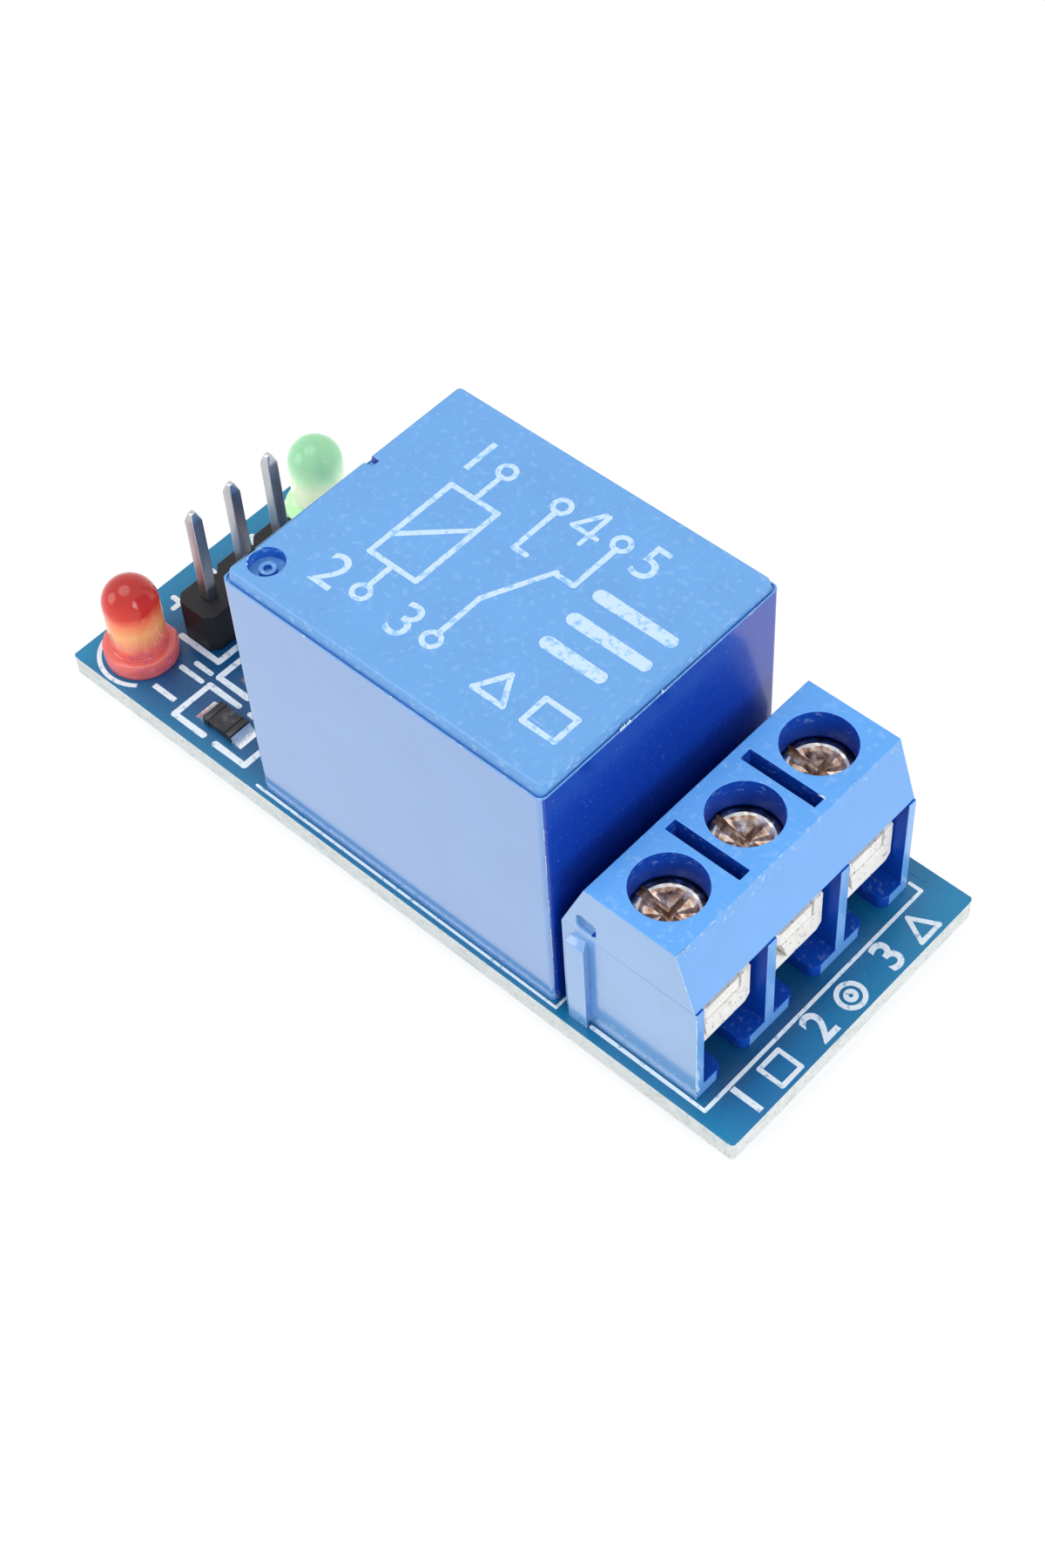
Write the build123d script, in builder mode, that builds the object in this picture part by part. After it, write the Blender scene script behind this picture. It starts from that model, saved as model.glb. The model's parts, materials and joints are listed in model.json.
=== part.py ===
from build123d import *
import os
from math import atan2, degrees, hypot, radians, tan

# A one-channel relay module board, in millimetres.
# X runs along the board towards the screw terminals, Y across it, Z up.
# The origin is under the middle of the board, level with the trimmed leads.

# Board: its length and width follow from the parts that it carries
board_thickness = 1.2
board_corner = 0.3
lead_stub = 1.2                 # leads are cut this far below the board
hole_clearance = 0.12           # radial room round a lead in its hole
lead_facets = 10                # flat sides of each lead's hole and solder

# Relay
relay_length = 19.0
relay_width = 15.3
relay_height = 15.5
relay_gap = 0.4                 # to the screw terminals
relay_edge_room = 0.5           # from its -Y side to the board's edge
relay_y = -0.5
case_wall = 0.8
case_ceiling = 1.3
case_corner = 0.35
case_rim = 0.08                 # outer rim beside the groove at the top
case_groove = 0.08
case_groove_depth = 0.16
plateau_rise = 0.55
plateau_slope = 12              # degrees from upright
vent_radius = 0.88
vent_depth = 0.7
vent_inset_x = 1.27
vent_inset_y = 1.68
nib_radius = 0.42
nib_bore = 0.2
nib_height = 0.3
gate_notch_width = 0.5
gate_notch_length = 0.5
gate_notch_depth = 0.5
gate_notch_offset = 1.35        # from the relay's middle along Y
base_recess = 0.4
base_thickness = 1.5
base_fit = 0.03
strip_pin_width = 1.0
strip_thickness = 0.5
strip_width = 2.0
strip_bend = 0.4
strip_side_room = 0.6           # between a fixed contact's leg and the cover
strip_end_room = 1.6            # from the fixed contacts' pins to the cover
common_pin_step = 1.1           # from the yoke's back to the common pin
coil_pin_step = 2.0             # coil pins lie this far inside the common pin
coil_pin_radius = 0.3
coil_pin_reach = 2.0            # above the relay's base
yoke_thickness = 1.2
yoke_bend = 0.8
yoke_side_room = 2.35           # on each side, to the cover
yoke_end_room = 0.5
core_radius = 1.5
core_fit = 0.02
pole_radius = 3.0
pole_thickness = 0.8
bobbin_length = 8.6
bobbin_flange = 0.7
bobbin_corner = 0.8
bobbin_tube_wall = 0.6
bobbin_side_room = 1.85
bobbin_back_gap = 0.1
winding_margin = 0.4
magnet_gap = 0.35               # open gap between pole and armature
armature_width = 8.0
armature_thickness = 1.1
armature_corner = 0.6
armature_overlap = 0.7          # reach of the armature past the pole
hinge_gap = 0.03
blade_thickness = 0.15
blade_width = 3.5
blade_root_width = 6.4
contact_radius = 1.0
contact_thickness = 0.4
contact_edge = 0.1
contact_neck = 0.6
contact_gap = 0.6               # travel from one fixed contact to the other
contact_rest_gap = 0.03
stack_clearance = 0.17          # above the upper fixed contact

# Screw terminal block
poles = 3
pole_pitch = 5.0
terminal_setback = 10.4         # the block's back, from the end of the board
terminal_edge_room = 0.8        # from its -Y side to the board's edge
terminal_depth = 7.65
terminal_height = 10.1
terminal_y = -0.35
cap_height = 3.4
cap_back_run = 1.4              # how far the sloped back leans in
cap_front_run = 1.15
cap_lip_setback = 0.1
end_wall = 0.5
divider = 0.6
back_wall = 0.85
terminal_floor = 0.8
floor_notch_width = 1.4
floor_notch_back = 2.85
floor_tab_round = 0.45
slot_width = 0.66
slot_depth = 2.6
slot_margin = 0.5               # from the slots' ends to the edges of the flat top
slot_wall = 0.24                # plastic left between a slot and a screw head
driver_bore_depth = 1.7
head_catch = 0.09               # how far the head reaches under its bore's edge
head_thickness = 1.0
head_clearance = 0.08
head_chamfer = 0.22
drive_slot_width = 0.5
drive_slot_depth = 0.45
drive_cross_length = 2.1
drive_cross_depth = 0.75
screw_radius = 1.25
thread_clearance = 0.03
tip_gap = 0.03
clamp_recess = 0.7              # front of the clamp behind the front of the block
clamp_side_gap = 0.3
clamp_wall = 0.6
clamp_bottom = 2.45
clamp_sill = 1.47
clamp_top = 0.95
clamp_head_gap = 0.12
clamp_shoulder = 0.85
clamp_shoulder_height = 2.5
clamp_corner = 0.3
clamp_leg_gap = 0.15
joint_reach = (0.3, 0.8, 0.45)  # how far the folded strip's joint gapes, pole by pole
joint_depth = 0.7
joint_foot = 0.24
joint_heel = 0.3
bar_thickness = 0.8
bar_side_gap = 0.1
bar_fit = 0.05
bar_bend = 0.4
bar_lift = 0.03                 # between the raised clamp and the bar
bar_tip_corner = 0.25
solder_tail_width = 1.0
rib_width = 1.1
rib_flare = 0.18
rib_reach = 0.4
rib_start = 0.5
rib_drop = 0.4                  # the rib stops this far below the seam
rib_slope = 0.3
rib_fit = 0.05
latch_width = 1.1
latch_height = 1.0
latch_start = 0.9
latch_lift = 0.3
latch_depth = 0.3
latch_round = 0.3

# Pin header
header_setback = 4.3            # from the other end of the board
header_y = -0.15
header_pitch = 2.54
header_pins = 3
header_height = 2.5
header_notch = 0.45
pin_side = 0.64
pin_taper = 0.55
pin_tip_side = 0.3
pin_top = 8.5                   # above the board

# Lamps
lamp_radius = 1.45
lamp_flange_radius = 1.9
lamp_flange_height = 1.0
lamp_flat = 0.28                # cut off the flange on the cathode's side
lamp_height = 5.3
lamp_lead_side = 0.5
lamp_lead_pitch = 2.54
lamp_lead_bend = 0.6            # height above the board where the leads turn in
lamp_post_height = 3.1
lamp_post_gap = 0.35
anode_post_width = 0.55
cathode_post_width = 1.0
lamp_room_y = 2.24              # least room from the header's end to a lamp's middle
lamp_edge_room = 2.45           # from a lamp's middle to the board's edge
red_lamp_setback = 2.6
green_lamp_setback = 2.8
green_lamp_extra = 0.25         # the green lamp stands this much nearer its edge

# Surface-mounted parts, in one column between header and relay
chip_strip = 7.83               # free board between header and relay
chip_column_shift = -0.165      # from midway between header and relay
chip_row_pitch = 3.05
first_chip_edge_room = 1.95     # from the first chip's middle to the board's edge
resistors = 3
chip_length = 2.0
chip_width = 1.25
chip_height = 0.5
chip_cap_length = 0.4
chip_cap_proud = 0.03
diode_length = 3.5
diode_radius = 0.72
diode_cap_length = 0.5
diode_neck = 0.06
transistor_length = 2.9
transistor_width = 1.3
transistor_height = 1.0
transistor_lift = 0.1
transistor_draft = 8
leg_width = 0.4
leg_thickness = 0.13
leg_reach = 0.55
leg_foot = 0.35
leg_pitch = 1.9
fillet_length = 0.6             # solder beside each chip end
fillet_height = 0.4
fillet_hollow = 0.4             # how far its face stands off its corner, as a share
leg_fillet_length = 0.3
leg_fillet_height = 0.13

# Solder under the board
solder_radius = 0.88
solder_tip_radius = 0.68
solder_tip_gap = 0.2            # bare lead left below each cone

# Levels and places that follow from the sizes above
board_top = lead_stub + board_thickness
header_length = header_pins * header_pitch
terminal_width = poles * pole_pitch
board_length = (
    header_setback + header_pitch / 2 + chip_strip + relay_length + relay_gap + terminal_setback
)
board_width = 2 * max(
    header_length / 2 - header_y + lamp_room_y + lamp_edge_room,
    relay_width / 2 - relay_y + relay_edge_room,
    terminal_width / 2 - terminal_y + terminal_edge_room,
)
terminal_back = board_length / 2 - terminal_setback
relay_x = terminal_back - relay_gap - relay_length / 2
ledge_height = relay_height - plateau_rise
inner_length = relay_length - 2 * case_wall
inner_width = relay_width - 2 * case_wall
base_top = board_top + base_recess + base_thickness
yoke_back = relay_x - inner_length / 2 + yoke_end_room
yoke_front = yoke_back + yoke_thickness
yoke_width = inner_width - 2 * yoke_side_room
common_x = yoke_back + common_pin_step
coil_pin_x = common_x + coil_pin_step
fixed_x = relay_x + inner_length / 2 - strip_end_room
side_pin_y = inner_width / 2 - strip_side_room - strip_thickness / 2
contact_x = fixed_x - strip_width / 2
bobbin_back = yoke_front + bobbin_back_gap
bobbin_front = bobbin_back + bobbin_length
bobbin_width = inner_width - 2 * bobbin_side_room
coil_x = (bobbin_back + bobbin_front) / 2
tube_radius = core_radius + core_fit + bobbin_tube_wall
winding_radius = min(bobbin_length, bobbin_width) / 2 - winding_margin
upper_strip_top = board_top + relay_height - case_ceiling - stack_clearance
closed_face = upper_strip_top - strip_thickness - contact_thickness
blade_top = closed_face - contact_rest_gap - contact_thickness
armature_top = blade_top - blade_thickness
armature_bottom = armature_top - armature_thickness
armature_front = coil_x + pole_radius + armature_overlap
moving_contact_bottom = armature_top - contact_thickness
open_face = moving_contact_bottom - contact_gap
pole_top = armature_bottom - magnet_gap
bobbin_top = pole_top - pole_thickness
bobbin_bottom = base_top + yoke_thickness
bobbin_height = bobbin_top - bobbin_bottom

terminal_front = terminal_back + terminal_depth
terminal_seam = board_top + terminal_height - cap_height
terminal_top = board_top + terminal_height
pole_places = [terminal_y + (i - (poles - 1) / 2) * pole_pitch for i in range(poles)]
head_radius = (pole_pitch - slot_width) / 2 - slot_wall - head_clearance
driver_bore_radius = head_radius - head_catch
head_top = terminal_top - driver_bore_depth - head_clearance
head_bottom = head_top - head_thickness
clamp_low = board_top + clamp_bottom
clamp_high = head_bottom - clamp_head_gap
clamp_width = pole_pitch - divider - 2 * clamp_side_gap
window_width = clamp_width - 2 * clamp_wall
bar_width = window_width - 2 * bar_side_gap
bar_bottom = clamp_low + clamp_sill + bar_lift
bar_top = bar_bottom + bar_thickness
bar_back = terminal_back + back_wall + bar_fit
tail_x = bar_back + bar_thickness / 2
clamp_back = bar_back + bar_thickness + clamp_leg_gap
clamp_front = terminal_front - clamp_recess
chamber_back = clamp_back - clamp_leg_gap / 2
screw_x = (clamp_back + clamp_front - clamp_shoulder) / 2

header_x = header_setback - board_length / 2
header_places = [header_y + (i - (header_pins - 1) / 2) * header_pitch for i in range(header_pins)]
red_lamp = (red_lamp_setback - board_length / 2, lamp_edge_room - board_width / 2)
green_lamp = (
    green_lamp_setback - board_length / 2,
    board_width / 2 - lamp_edge_room + green_lamp_extra,
)
chip_x = (header_x + header_pitch / 2 + relay_x - relay_length / 2) / 2 + chip_column_shift
first_chip_y = first_chip_edge_room - board_width / 2
resistor_places = [first_chip_y + i * chip_row_pitch for i in range(resistors)]
diode_y = first_chip_y + resistors * chip_row_pitch
transistor_y = diode_y + chip_row_pitch

# Leads through the board: the places of each kind, and their section along X and Y
fixed_leads = [(fixed_x, relay_y - side_pin_y), (fixed_x, relay_y + side_pin_y)]
coil_leads = [(coil_pin_x, relay_y - side_pin_y), (coil_pin_x, relay_y + side_pin_y)]
lamp_leads = [
    (x, y + side * lamp_lead_pitch / 2) for x, y in (red_lamp, green_lamp) for side in (-1, 1)
]
square_leads = (
    [(place, strip_pin_width, strip_thickness) for place in fixed_leads]
    + [((common_x, relay_y), strip_thickness, strip_pin_width)]
    + [((tail_x, y), bar_thickness, solder_tail_width) for y in pole_places]
    + [((header_x, y), pin_side, pin_side) for y in header_places]
    + [(place, lamp_lead_side, lamp_lead_side) for place in lamp_leads]
)


def side_view(y=0.0):
    """Upright plane across Y: sketches on it are drawn in X and Z."""
    return Plane(origin=(0, y, 0), x_dir=(1, 0, 0), z_dir=(0, -1, 0))


def end_view(x=0.0):
    """Upright plane across X: sketches on it are drawn in Y and Z."""
    return Plane(origin=(x, 0, 0), x_dir=(0, 1, 0), z_dir=(1, 0, 0))


def keep(piece, label):
    """Names a finished piece and writes its file."""
    piece.part.label = label
    export_step(piece.part, f"parts/{label}.step")


os.makedirs("parts", exist_ok=True)

# The board, drilled for every lead
with BuildPart() as circuit_board:
    with BuildSketch(Plane.XY.offset(lead_stub)):
        RectangleRounded(board_length, board_width, board_corner)
        for place, size_x, size_y in square_leads:
            hole_radius = hypot(size_x, size_y) / 2 + hole_clearance
            with Locations(place):
                RegularPolygon(hole_radius, lead_facets, mode=Mode.SUBTRACT)
        with Locations(*coil_leads):
            RegularPolygon(coil_pin_radius + hole_clearance, lead_facets, mode=Mode.SUBTRACT)
    extrude(amount=board_thickness)
keep(circuit_board, "circuit_board")

# A cone of solder round each lead under the board
solder_places = [place for place, size_x, size_y in square_leads] + coil_leads
solder_height = lead_stub - solder_tip_gap
solder_taper = degrees(atan2(solder_radius - solder_tip_radius, solder_height))
with BuildPart() as solder_joints:
    with BuildSketch(Plane.XY.offset(lead_stub)):
        with Locations(*solder_places):
            RegularPolygon(solder_radius, lead_facets)
    extrude(amount=-solder_height, taper=solder_taper)
    with BuildSketch():
        for place, size_x, size_y in square_leads:
            with Locations(place):
                Rectangle(size_x, size_y)
        with Locations(*coil_leads):
            Circle(coil_pin_radius)
    extrude(amount=lead_stub, mode=Mode.SUBTRACT)
keep(solder_joints, "solder_joints")

# Relay cover: a deep cup, its raised top ringed by a groove
relay_plane = Plane(origin=(relay_x, relay_y, board_top))
groove_outer = (relay_length - 2 * case_rim, relay_width - 2 * case_rim)
plateau = (groove_outer[0] - 2 * case_groove, groove_outer[1] - 2 * case_groove)
vent_place = (-relay_length / 2 + vent_inset_x, -relay_width / 2 + vent_inset_y)
plateau_edge = -plateau[0] / 2 + plateau_rise * tan(radians(plateau_slope))
with BuildPart() as relay_case:
    with BuildSketch(relay_plane):
        RectangleRounded(relay_length, relay_width, case_corner)
    extrude(amount=ledge_height)
    with BuildSketch(relay_plane.offset(ledge_height)):
        RectangleRounded(*groove_outer, case_corner)
        RectangleRounded(*plateau, case_corner, mode=Mode.SUBTRACT)
    extrude(amount=-case_groove_depth, mode=Mode.SUBTRACT)
    with BuildSketch(relay_plane.offset(ledge_height)):
        RectangleRounded(*plateau, case_corner)
    extrude(amount=plateau_rise, taper=plateau_slope)
    with BuildSketch(relay_plane):
        Rectangle(inner_length, inner_width)
    extrude(amount=relay_height - case_ceiling, mode=Mode.SUBTRACT)
    with BuildSketch(relay_plane.offset(relay_height)):
        with Locations(vent_place):
            Circle(vent_radius)
    extrude(amount=-vent_depth, mode=Mode.SUBTRACT)
    with BuildSketch(relay_plane.offset(relay_height)):
        with Locations((plateau_edge, gate_notch_offset)):
            Rectangle(2 * gate_notch_length, gate_notch_width)
    extrude(amount=-gate_notch_depth, mode=Mode.SUBTRACT)
    with BuildSketch(relay_plane.offset(relay_height - vent_depth)):
        with Locations(vent_place):
            Circle(nib_radius)
            Circle(nib_bore, mode=Mode.SUBTRACT)
    extrude(amount=nib_height)
keep(relay_case, "relay_case")

# Plate that closes the cover from below, pierced for the relay's pins
with BuildPart() as relay_base:
    with BuildSketch(relay_plane.offset(base_recess)):
        Rectangle(inner_length - 2 * base_fit, inner_width - 2 * base_fit)
    extrude(amount=base_thickness)
    with BuildSketch(Plane.XY.offset(board_top)):
        with Locations(*fixed_leads):
            Rectangle(strip_pin_width, strip_thickness)
        with Locations((common_x, relay_y)):
            Rectangle(strip_thickness, strip_pin_width)
        with Locations(*coil_leads):
            Circle(coil_pin_radius)
    extrude(amount=base_recess + base_thickness, mode=Mode.SUBTRACT)
keep(relay_base, "relay_base")

# Magnet frame: a bent strip, its foot under the coil and its leg behind it
yoke_top = armature_bottom - hinge_gap
with BuildPart() as relay_yoke:
    with BuildSketch(side_view(relay_y)):
        with BuildLine():
            Polyline(
                (yoke_back, base_top),
                (bobbin_front, base_top),
                (bobbin_front, bobbin_bottom),
                (yoke_front, bobbin_bottom),
                (yoke_front, yoke_top),
                (yoke_back, yoke_top),
                close=True,
            )
        make_face()
    extrude(amount=yoke_width / 2, both=True)
    fillet(relay_yoke.edges().filter_by(Axis.Y).group_by(Axis.Z)[0].sort_by(Axis.X)[0], yoke_bend)
    with BuildSketch(Plane.XY.offset(base_top)):
        with Locations((coil_x, relay_y)):
            Circle(core_radius)
    extrude(amount=yoke_thickness, mode=Mode.SUBTRACT)
keep(relay_yoke, "relay_yoke")

# Core, riveted into the yoke's foot, with a wide pole on top
core_axis = Axis((coil_x, relay_y, 0), (0, 0, 1))
with BuildPart() as relay_core:
    with BuildSketch(side_view(relay_y)):
        with BuildLine():
            Polyline(
                (coil_x, base_top),
                (coil_x + core_radius, base_top),
                (coil_x + core_radius, bobbin_top),
                (coil_x + pole_radius, bobbin_top),
                (coil_x + pole_radius, pole_top),
                (coil_x, pole_top),
                close=True,
            )
        make_face()
    revolve(axis=core_axis)
keep(relay_core, "relay_core")

# Bobbin: a tube with a flange at each end
coil_plane = Plane(origin=(coil_x, relay_y, bobbin_bottom))
with BuildPart() as relay_bobbin:
    with BuildSketch(coil_plane, coil_plane.offset(bobbin_height - bobbin_flange)):
        RectangleRounded(bobbin_front - bobbin_back, bobbin_width, bobbin_corner)
    extrude(amount=bobbin_flange)
    with BuildSketch(coil_plane):
        Circle(tube_radius)
    extrude(amount=bobbin_height)
    with BuildSketch(coil_plane):
        Circle(core_radius + core_fit)
    extrude(amount=bobbin_height, mode=Mode.SUBTRACT)
keep(relay_bobbin, "relay_bobbin")

# Winding between the flanges
with BuildPart() as relay_coil:
    with BuildSketch(coil_plane.offset(bobbin_flange)):
        Circle(winding_radius)
        Circle(tube_radius, mode=Mode.SUBTRACT)
    extrude(amount=bobbin_height - 2 * bobbin_flange)
keep(relay_coil, "relay_coil")

# Armature: a steel plate that rocks on the yoke's top edge
with BuildPart() as relay_armature:
    with BuildSketch(Plane(origin=(yoke_back, relay_y, armature_bottom))):
        Rectangle(armature_front - yoke_back, armature_width, align=(Align.MIN, Align.CENTER))
    extrude(amount=armature_thickness)
    chamfer(relay_armature.edges().filter_by(Axis.Z), armature_corner)
keep(relay_armature, "relay_armature")

# Contact blade, narrowing from the armature to the moving contact
with BuildPart() as relay_blade:
    with BuildSketch(Plane(origin=(0, relay_y, armature_top))):
        with BuildLine():
            Polyline(
                (yoke_front, -blade_root_width / 2),
                (armature_front, -blade_root_width / 2),
                (contact_x, -blade_width / 2),
                (contact_x, blade_width / 2),
                (armature_front, blade_root_width / 2),
                (yoke_front, blade_root_width / 2),
                close=True,
            )
        make_face()
        with Locations((contact_x, 0)):
            Circle(blade_width / 2)
            Circle(contact_neck, mode=Mode.SUBTRACT)
    extrude(amount=blade_thickness)
keep(relay_blade, "relay_blade")

# Moving contact, a rivet through the blade
with BuildPart() as relay_moving_contact:
    with BuildSketch(side_view(relay_y)):
        with BuildLine():
            Polyline(
                (contact_x, moving_contact_bottom),
                (contact_x + contact_radius - contact_edge, moving_contact_bottom),
                (contact_x + contact_radius, moving_contact_bottom + contact_edge),
                (contact_x + contact_radius, armature_top),
                (contact_x + contact_neck, armature_top),
                (contact_x + contact_neck, blade_top),
                (contact_x + contact_radius, blade_top),
                (contact_x + contact_radius, blade_top + contact_thickness - contact_edge),
                (contact_x + contact_radius - contact_edge, blade_top + contact_thickness),
                (contact_x, blade_top + contact_thickness),
                close=True,
            )
        make_face()
    revolve(axis=Axis((contact_x, relay_y, 0), (0, 0, 1)))
keep(relay_moving_contact, "relay_moving_contact")


def fixed_contact(side, arm_bottom, disc_bottom):
    """Bent strip with its pin below, its arm over the middle and its contact disc."""
    pin_y = relay_y + side * side_pin_y
    leg_outer = pin_y + side * strip_thickness / 2
    leg_inner = pin_y - side * strip_thickness / 2
    arm_end = relay_y - side * contact_radius
    arm_top = arm_bottom + strip_thickness
    with BuildPart() as strip:
        with BuildSketch(end_view(contact_x)):
            with BuildLine():
                Polyline(
                    (leg_outer, base_top),
                    (leg_outer, arm_top),
                    (arm_end, arm_top),
                    (arm_end, arm_bottom),
                    (leg_inner, arm_bottom),
                    (leg_inner, base_top),
                    close=True,
                )
            make_face()
        extrude(amount=strip_width / 2, both=True)
        top_edges = strip.edges().filter_by(Axis.X).group_by(Axis.Z)[-1].sort_by(Axis.Y)
        fillet(top_edges[-1] if side > 0 else top_edges[0], strip_bend)
        with BuildSketch(end_view(fixed_x)):
            with Locations((pin_y, 0)):
                Rectangle(
                    strip_thickness, base_top + strip_pin_width, align=(Align.CENTER, Align.MIN)
                )
        extrude(amount=strip_pin_width / 2, both=True)
        with BuildSketch(Plane(origin=(contact_x, relay_y, disc_bottom))):
            Circle(contact_radius)
        extrude(amount=contact_thickness)
    return strip


keep(
    fixed_contact(-1, open_face - contact_thickness - strip_thickness, open_face - contact_thickness),
    "relay_open_contact",
)
keep(fixed_contact(1, closed_face + contact_thickness, closed_face), "relay_closed_contact")

# The common pin, a strip welded under the yoke's foot
with BuildPart() as relay_common_pin:
    with BuildSketch():
        with Locations((common_x, relay_y)):
            Rectangle(strip_thickness, strip_pin_width)
    extrude(amount=base_top)
keep(relay_common_pin, "relay_common_pin")

# The two round coil pins
with BuildPart() as relay_coil_pins:
    with BuildSketch():
        with Locations(*coil_leads):
            Circle(coil_pin_radius)
    extrude(amount=base_top + coil_pin_reach)
keep(relay_coil_pins, "relay_coil_pins")

# Terminal block, lower housing: floor tabs, walls and dividers, and a dovetail rib
rib_x = terminal_back + rib_start + rib_width / 2
rib_angle = degrees(atan2(rib_reach, rib_flare))
rib_height = terminal_seam - board_top - rib_drop
low_side = terminal_y - terminal_width / 2
high_side = terminal_y + terminal_width / 2
with BuildPart() as terminal_base:
    with BuildSketch(Plane.XY.offset(board_top)):
        with Locations((terminal_back, terminal_y)):
            Rectangle(terminal_depth, terminal_width, align=(Align.MIN, Align.CENTER))
    extrude(amount=terminal_seam - board_top)
    for i, pole_y in enumerate(pole_places):
        chamber_low = low_side + end_wall if i == 0 else pole_y - (pole_pitch - divider) / 2
        chamber_high = high_side - end_wall if i == poles - 1 else pole_y + (pole_pitch - divider) / 2
        with BuildSketch(Plane.XY.offset(terminal_seam)):
            with Locations((terminal_front, (chamber_low + chamber_high) / 2)):
                Rectangle(
                    terminal_front - chamber_back,
                    chamber_high - chamber_low,
                    align=(Align.MAX, Align.CENTER),
                )
            with Locations((terminal_front, pole_y)):
                Rectangle(
                    terminal_depth - back_wall,
                    bar_width + 2 * bar_fit,
                    align=(Align.MAX, Align.CENTER),
                )
        extrude(amount=board_top + terminal_floor - terminal_seam, mode=Mode.SUBTRACT)
        with BuildSketch(Plane.XY.offset(board_top)):
            with Locations((terminal_front, pole_y)):
                Rectangle(
                    terminal_depth - floor_notch_back,
                    floor_notch_width,
                    align=(Align.MAX, Align.CENTER),
                )
            with Locations((tail_x, pole_y)):
                Rectangle(bar_thickness, solder_tail_width)
        extrude(amount=terminal_floor, mode=Mode.SUBTRACT)
    floor_edges = terminal_base.edges().filter_by(Axis.Z).group_by(Axis.Z)[0]
    fillet(floor_edges.group_by(Axis.X)[-1], floor_tab_round)
    with BuildSketch(Plane.XY.offset(board_top)):
        with Locations((rib_x, low_side)):
            Trapezoid(rib_width, rib_reach, rib_angle, align=(Align.CENTER, Align.MAX))
    extrude(amount=rib_height)
    chamfer(
        terminal_base.edges().filter_by(Axis.X).group_by(Axis.Y)[0].sort_by(Axis.Z)[-1],
        rib_slope,
    )
    with BuildSketch(Plane.XY.offset(board_top)):
        with Locations((rib_x, high_side)):
            Trapezoid(
                rib_width + 2 * rib_fit,
                rib_reach + rib_fit,
                rib_angle,
                align=(Align.CENTER, Align.MAX),
            )
    extrude(amount=rib_height + rib_fit, mode=Mode.SUBTRACT)
keep(terminal_base, "terminal_base")

# Terminal block, upper housing: sloped front and back, driver bores, slots between poles
flat_back = terminal_back + cap_back_run
flat_front = terminal_front - cap_front_run
with BuildPart() as terminal_cap:
    with BuildSketch(side_view(terminal_y)):
        with BuildLine():
            Polyline(
                (terminal_back, terminal_seam),
                (terminal_front - cap_lip_setback, terminal_seam),
                (flat_front, terminal_top),
                (flat_back, terminal_top),
                close=True,
            )
        make_face()
    extrude(amount=terminal_width / 2, both=True)
    with BuildSketch(Plane.XY.offset(head_bottom)):
        with Locations(*[(chamber_back, y) for y in pole_places]):
            Rectangle(
                clamp_front - clamp_shoulder + clamp_head_gap - chamber_back,
                clamp_width + 2 * clamp_head_gap,
                align=(Align.MIN, Align.CENTER),
            )
    extrude(amount=terminal_seam - head_bottom, mode=Mode.SUBTRACT)
    with BuildSketch(Plane.XY.offset(head_bottom)):
        with Locations(*[(screw_x, y) for y in pole_places]):
            Circle(head_radius + head_clearance)
    extrude(amount=head_thickness + head_clearance, mode=Mode.SUBTRACT)
    with BuildSketch(Plane.XY.offset(terminal_top)):
        with Locations(*[(screw_x, y) for y in pole_places]):
            Circle(driver_bore_radius)
    extrude(amount=-driver_bore_depth, mode=Mode.SUBTRACT)
    with BuildSketch(Plane.XY.offset(terminal_top)):
        with Locations(*[(flat_back + slot_margin, y + pole_pitch / 2) for y in pole_places[:-1]]):
            Rectangle(
                flat_front - flat_back - 2 * slot_margin,
                slot_width,
                align=(Align.MIN, Align.CENTER),
            )
    extrude(amount=-slot_depth, mode=Mode.SUBTRACT)
    with BuildSketch(side_view(low_side)):
        with Locations((terminal_back + latch_start, terminal_seam + latch_lift)):
            RectangleRounded(
                latch_width, latch_height, latch_round, align=(Align.MIN, Align.MIN)
            )
    extrude(amount=-latch_depth, mode=Mode.SUBTRACT)
keep(terminal_cap, "terminal_cap")


def clamp_screw(pole_y):
    """Cheese head with a slot and a cross, on a shank that reaches down to the contact bar."""
    shank_end = bar_top + tip_gap
    with BuildPart() as screw:
        with BuildSketch(Plane.XY.offset(head_bottom)):
            with Locations((screw_x, pole_y)):
                Circle(head_radius)
        extrude(amount=head_thickness)
        chamfer(screw.edges().filter_by(GeomType.CIRCLE).group_by(Axis.Z)[-1], head_chamfer)
        with BuildSketch(Plane.XY.offset(shank_end)):
            with Locations((screw_x, pole_y)):
                Circle(screw_radius)
        extrude(amount=head_bottom - shank_end)
        with BuildSketch(Plane.XY.offset(head_top)):
            with Locations((screw_x, pole_y)):
                Rectangle(2 * head_radius, drive_slot_width)
        extrude(amount=-drive_slot_depth, mode=Mode.SUBTRACT)
        with BuildSketch(Plane.XY.offset(head_top)):
            with Locations((screw_x, pole_y)):
                Rectangle(drive_cross_length, drive_slot_width)
                Rectangle(drive_slot_width, drive_cross_length)
        extrude(amount=-drive_cross_depth, mode=Mode.SUBTRACT)
    return screw


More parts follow.
